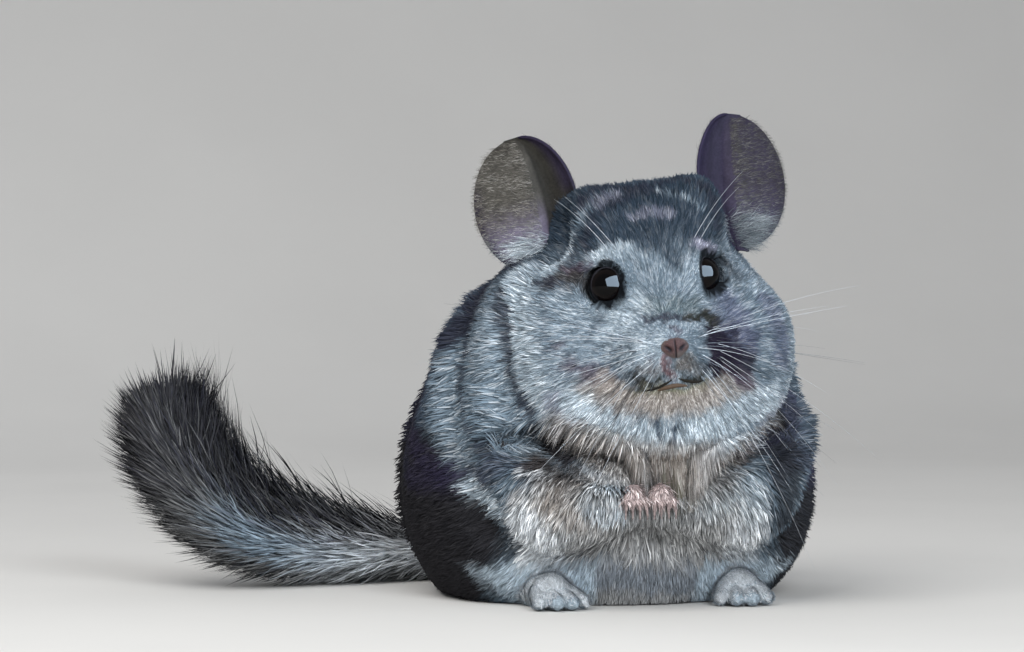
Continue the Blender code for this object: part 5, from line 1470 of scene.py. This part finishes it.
    def finish(self, looks):
        """Taupe above, lilac at the foot, dusky towards the outer rim, painted shade in the fold, dark behind, and
        darker over the left ear's open face as painted shade.
        """
        made = Finish("ear_skin", Roughness=0.7, Specular_IOR_Level=0.02)
        u, v, back = (made.read("ear", part) for part in range(3))
        vein = made.noise(7.0, made.read("ear"), 4.0)
        grain = made.noise(1100.0, made.place(), 2.0)
        taupe, lilac = tuple(looks.skin), tuple(looks.root)
        tone = made.mix(v.step(0.22, 0.58), lilac, taupe)
        tone = made.mix(u.step(0.50, 0.95) * (1 - v.step(0.55, 0.80)) * 0.85, tone, tuple(looks.rim))
        tone = made.mix(v.step(0.80, 1.0) * 0.7, tone, tuple(looks.deep))
        # Painted shade over the fold on the head's side of the ridge
        deep = 1 - u.step(-0.27, -0.21)
        fold = made.mix(v.step(0.45, 0.60) * (1 - u.step(-0.80, -0.45)) * 0.7, tuple(looks.deep), tuple(looks.rim))
        tone = made.mix(deep * 0.95, tone, fold)
        # Dusky behind, and over the left ear's open face as painted shade
        tone = made.mix(back * 0.75, tone, tuple(looks.rim))
        light = vein.step(0.3, 0.75, 0.8, 1.2) * grain.step(0.25, 0.75, 0.85, 1.15)
        made.shade("Base Color", made.mix(1.0, tone, grey(made, light), "MULTIPLY"))
        made.bump(grain * 0.5 + vein, 0.0004, 0.5)
        return made.material


class ADD_OT_chinchilla_whiskers(bpy.types.Operator):
    """Long whiskers in rows on both sides of the muzzle, and a few over the eyes"""

    bl_idname = "chinchilla.whiskers"
    bl_label = "Whiskers"

    def execute(self, context):
        longest = context.scene.chinchilla.face.whisker_length
        draw = np.random.default_rng(13)
        roots, ways, lengths = [], [], []
        for side in (-1, 1):
            for row in range(5):
                for place in range(6):
                    x = side * (0.0075 + 0.0017 * place)
                    z = -0.0205 - 0.0030 * row + 0.0006 * place
                    root, _ = face_point(x, z, -WHISKER_SUNK)
                    fan = -1.45 + 0.42 * (4 - row) + draw.normal(0, 0.10)
                    back = 0.10 + 0.16 * place + draw.normal(0, 0.06)
                    way = HEAD_AXES @ unit(np.array((side * 1.0, back - 0.05, fan)))
                    roots.append(root)
                    ways.append(way)
                    lengths.append(longest * draw.uniform(0.35, 1.0) * (0.70 + 0.30 * place / 5))
            for place in range(2):
                root, _ = face_point(side * (0.0150 + 0.003 * place), 0.0165, -WHISKER_SUNK)
                roots.append(root)
                ways.append(HEAD_AXES @ unit(np.array((side * 0.6, -0.2, 0.9))))
                lengths.append(0.035 * draw.uniform(0.7, 1.1))
        self.tubes(np.array(roots), np.array(ways), np.array(lengths), draw)
        return {"FINISHED"}

    def tubes(self, roots, ways, lengths, draw):
        """Tapered tubes along root + L (w t + s c t^2 - z g t^2), four-sided."""
        count, steps, sides = len(roots), 14, 4
        t = np.linspace(0, 1, steps)[None, :, None]
        sag = draw.uniform(0.05, 0.22, (count, 1, 1)) * np.array((0, 0, -1.0))
        bow = draw.normal(0, 0.06, (count, 1, 3))
        centre = roots[:, None] + lengths[:, None, None] * (ways[:, None] * t + (sag + bow) * t * t)
        centre[..., 2] = np.maximum(centre[..., 2], 0.002)
        way = unit(np.gradient(centre, axis=1))
        a = unit(np.cross(way, (0.3, 1.0, 0.1)))
        b = np.cross(way, a)
        turn = np.linspace(0, 2 * math.pi, sides, endpoint=False)
        radius = WHISKER_RADIUS * (1 - 0.80 * t)
        ring = np.cos(turn)[None, None, :, None] * a[:, :, None] + np.sin(turn)[None, None, :, None] * b[:, :, None]
        points = centre[:, :, None] + radius[..., None] * ring
        one = grid_faces(steps, sides, True)
        quads = (one[None] + (np.arange(count) * steps * sides)[:, None, None]).reshape(-1, 4)
        made = Finish("whisker", Roughness=0.35)
        along = np.broadcast_to(t[..., None], (count, steps, sides, 1)).reshape(-1)
        lot = np.repeat(draw.uniform(0, 1, count), steps * sides)
        pale = made.read("hair", 1).step(0.45, 0.55)
        made.shade("Base Color", made.mix(pale, (0.02, 0.018, 0.02), (0.55, 0.58, 0.62)))
        info = np.stack([along, lot, 0 * lot], axis=1)
        whiskers = plot_quads("whiskers", points, quads, made.material, {"hair": info})
        outward(whiskers)


class VIEW3D_PT_chinchilla(bpy.types.Panel):
    bl_label = "Chinchilla"
    bl_space_type = "VIEW_3D"
    bl_region_type = "UI"
    bl_category = "Chinchilla"

    def draw(self, context):
        looks = context.scene.chinchilla
        for group in (looks.coat, looks.face, looks.ears, looks.stage):
            box = self.layout.box()
            for key in group.bl_rna.properties.keys():
                if key not in ("rna_type", "name"):
                    box.prop(group, key)
        for operator in OPERATORS:
            self.layout.operator(operator.bl_idname)


OPERATORS = (
    ADD_OT_chinchilla_stage,
    ADD_OT_chinchilla_skin,
    ADD_OT_chinchilla_coat,
    ADD_OT_chinchilla_tail,
    ADD_OT_chinchilla_eyes,
    ADD_OT_chinchilla_muzzle,
    ADD_OT_chinchilla_ears,
    ADD_OT_chinchilla_whiskers,
)
CLASSES = (
    CoatSettings,
    FaceSettings,
    EarSettings,
    StageSettings,
    ChinchillaSettings,
    *OPERATORS,
    VIEW3D_PT_chinchilla,
)


def register():
    for made in CLASSES:
        bpy.utils.register_class(made)
    bpy.types.Scene.chinchilla = PointerProperty(type=ChinchillaSettings)


def unregister():
    del bpy.types.Scene.chinchilla
    for made in reversed(CLASSES):
        bpy.utils.unregister_class(made)


def main():
    register()
    bpy.ops.chinchilla.stage()
    bpy.ops.chinchilla.skin()
    bpy.ops.chinchilla.coat()
    bpy.ops.chinchilla.tail()
    bpy.ops.chinchilla.eyes()
    bpy.ops.chinchilla.muzzle()
    bpy.ops.chinchilla.ears()
    bpy.ops.chinchilla.whiskers()


if __name__ == "__main__":
    main()
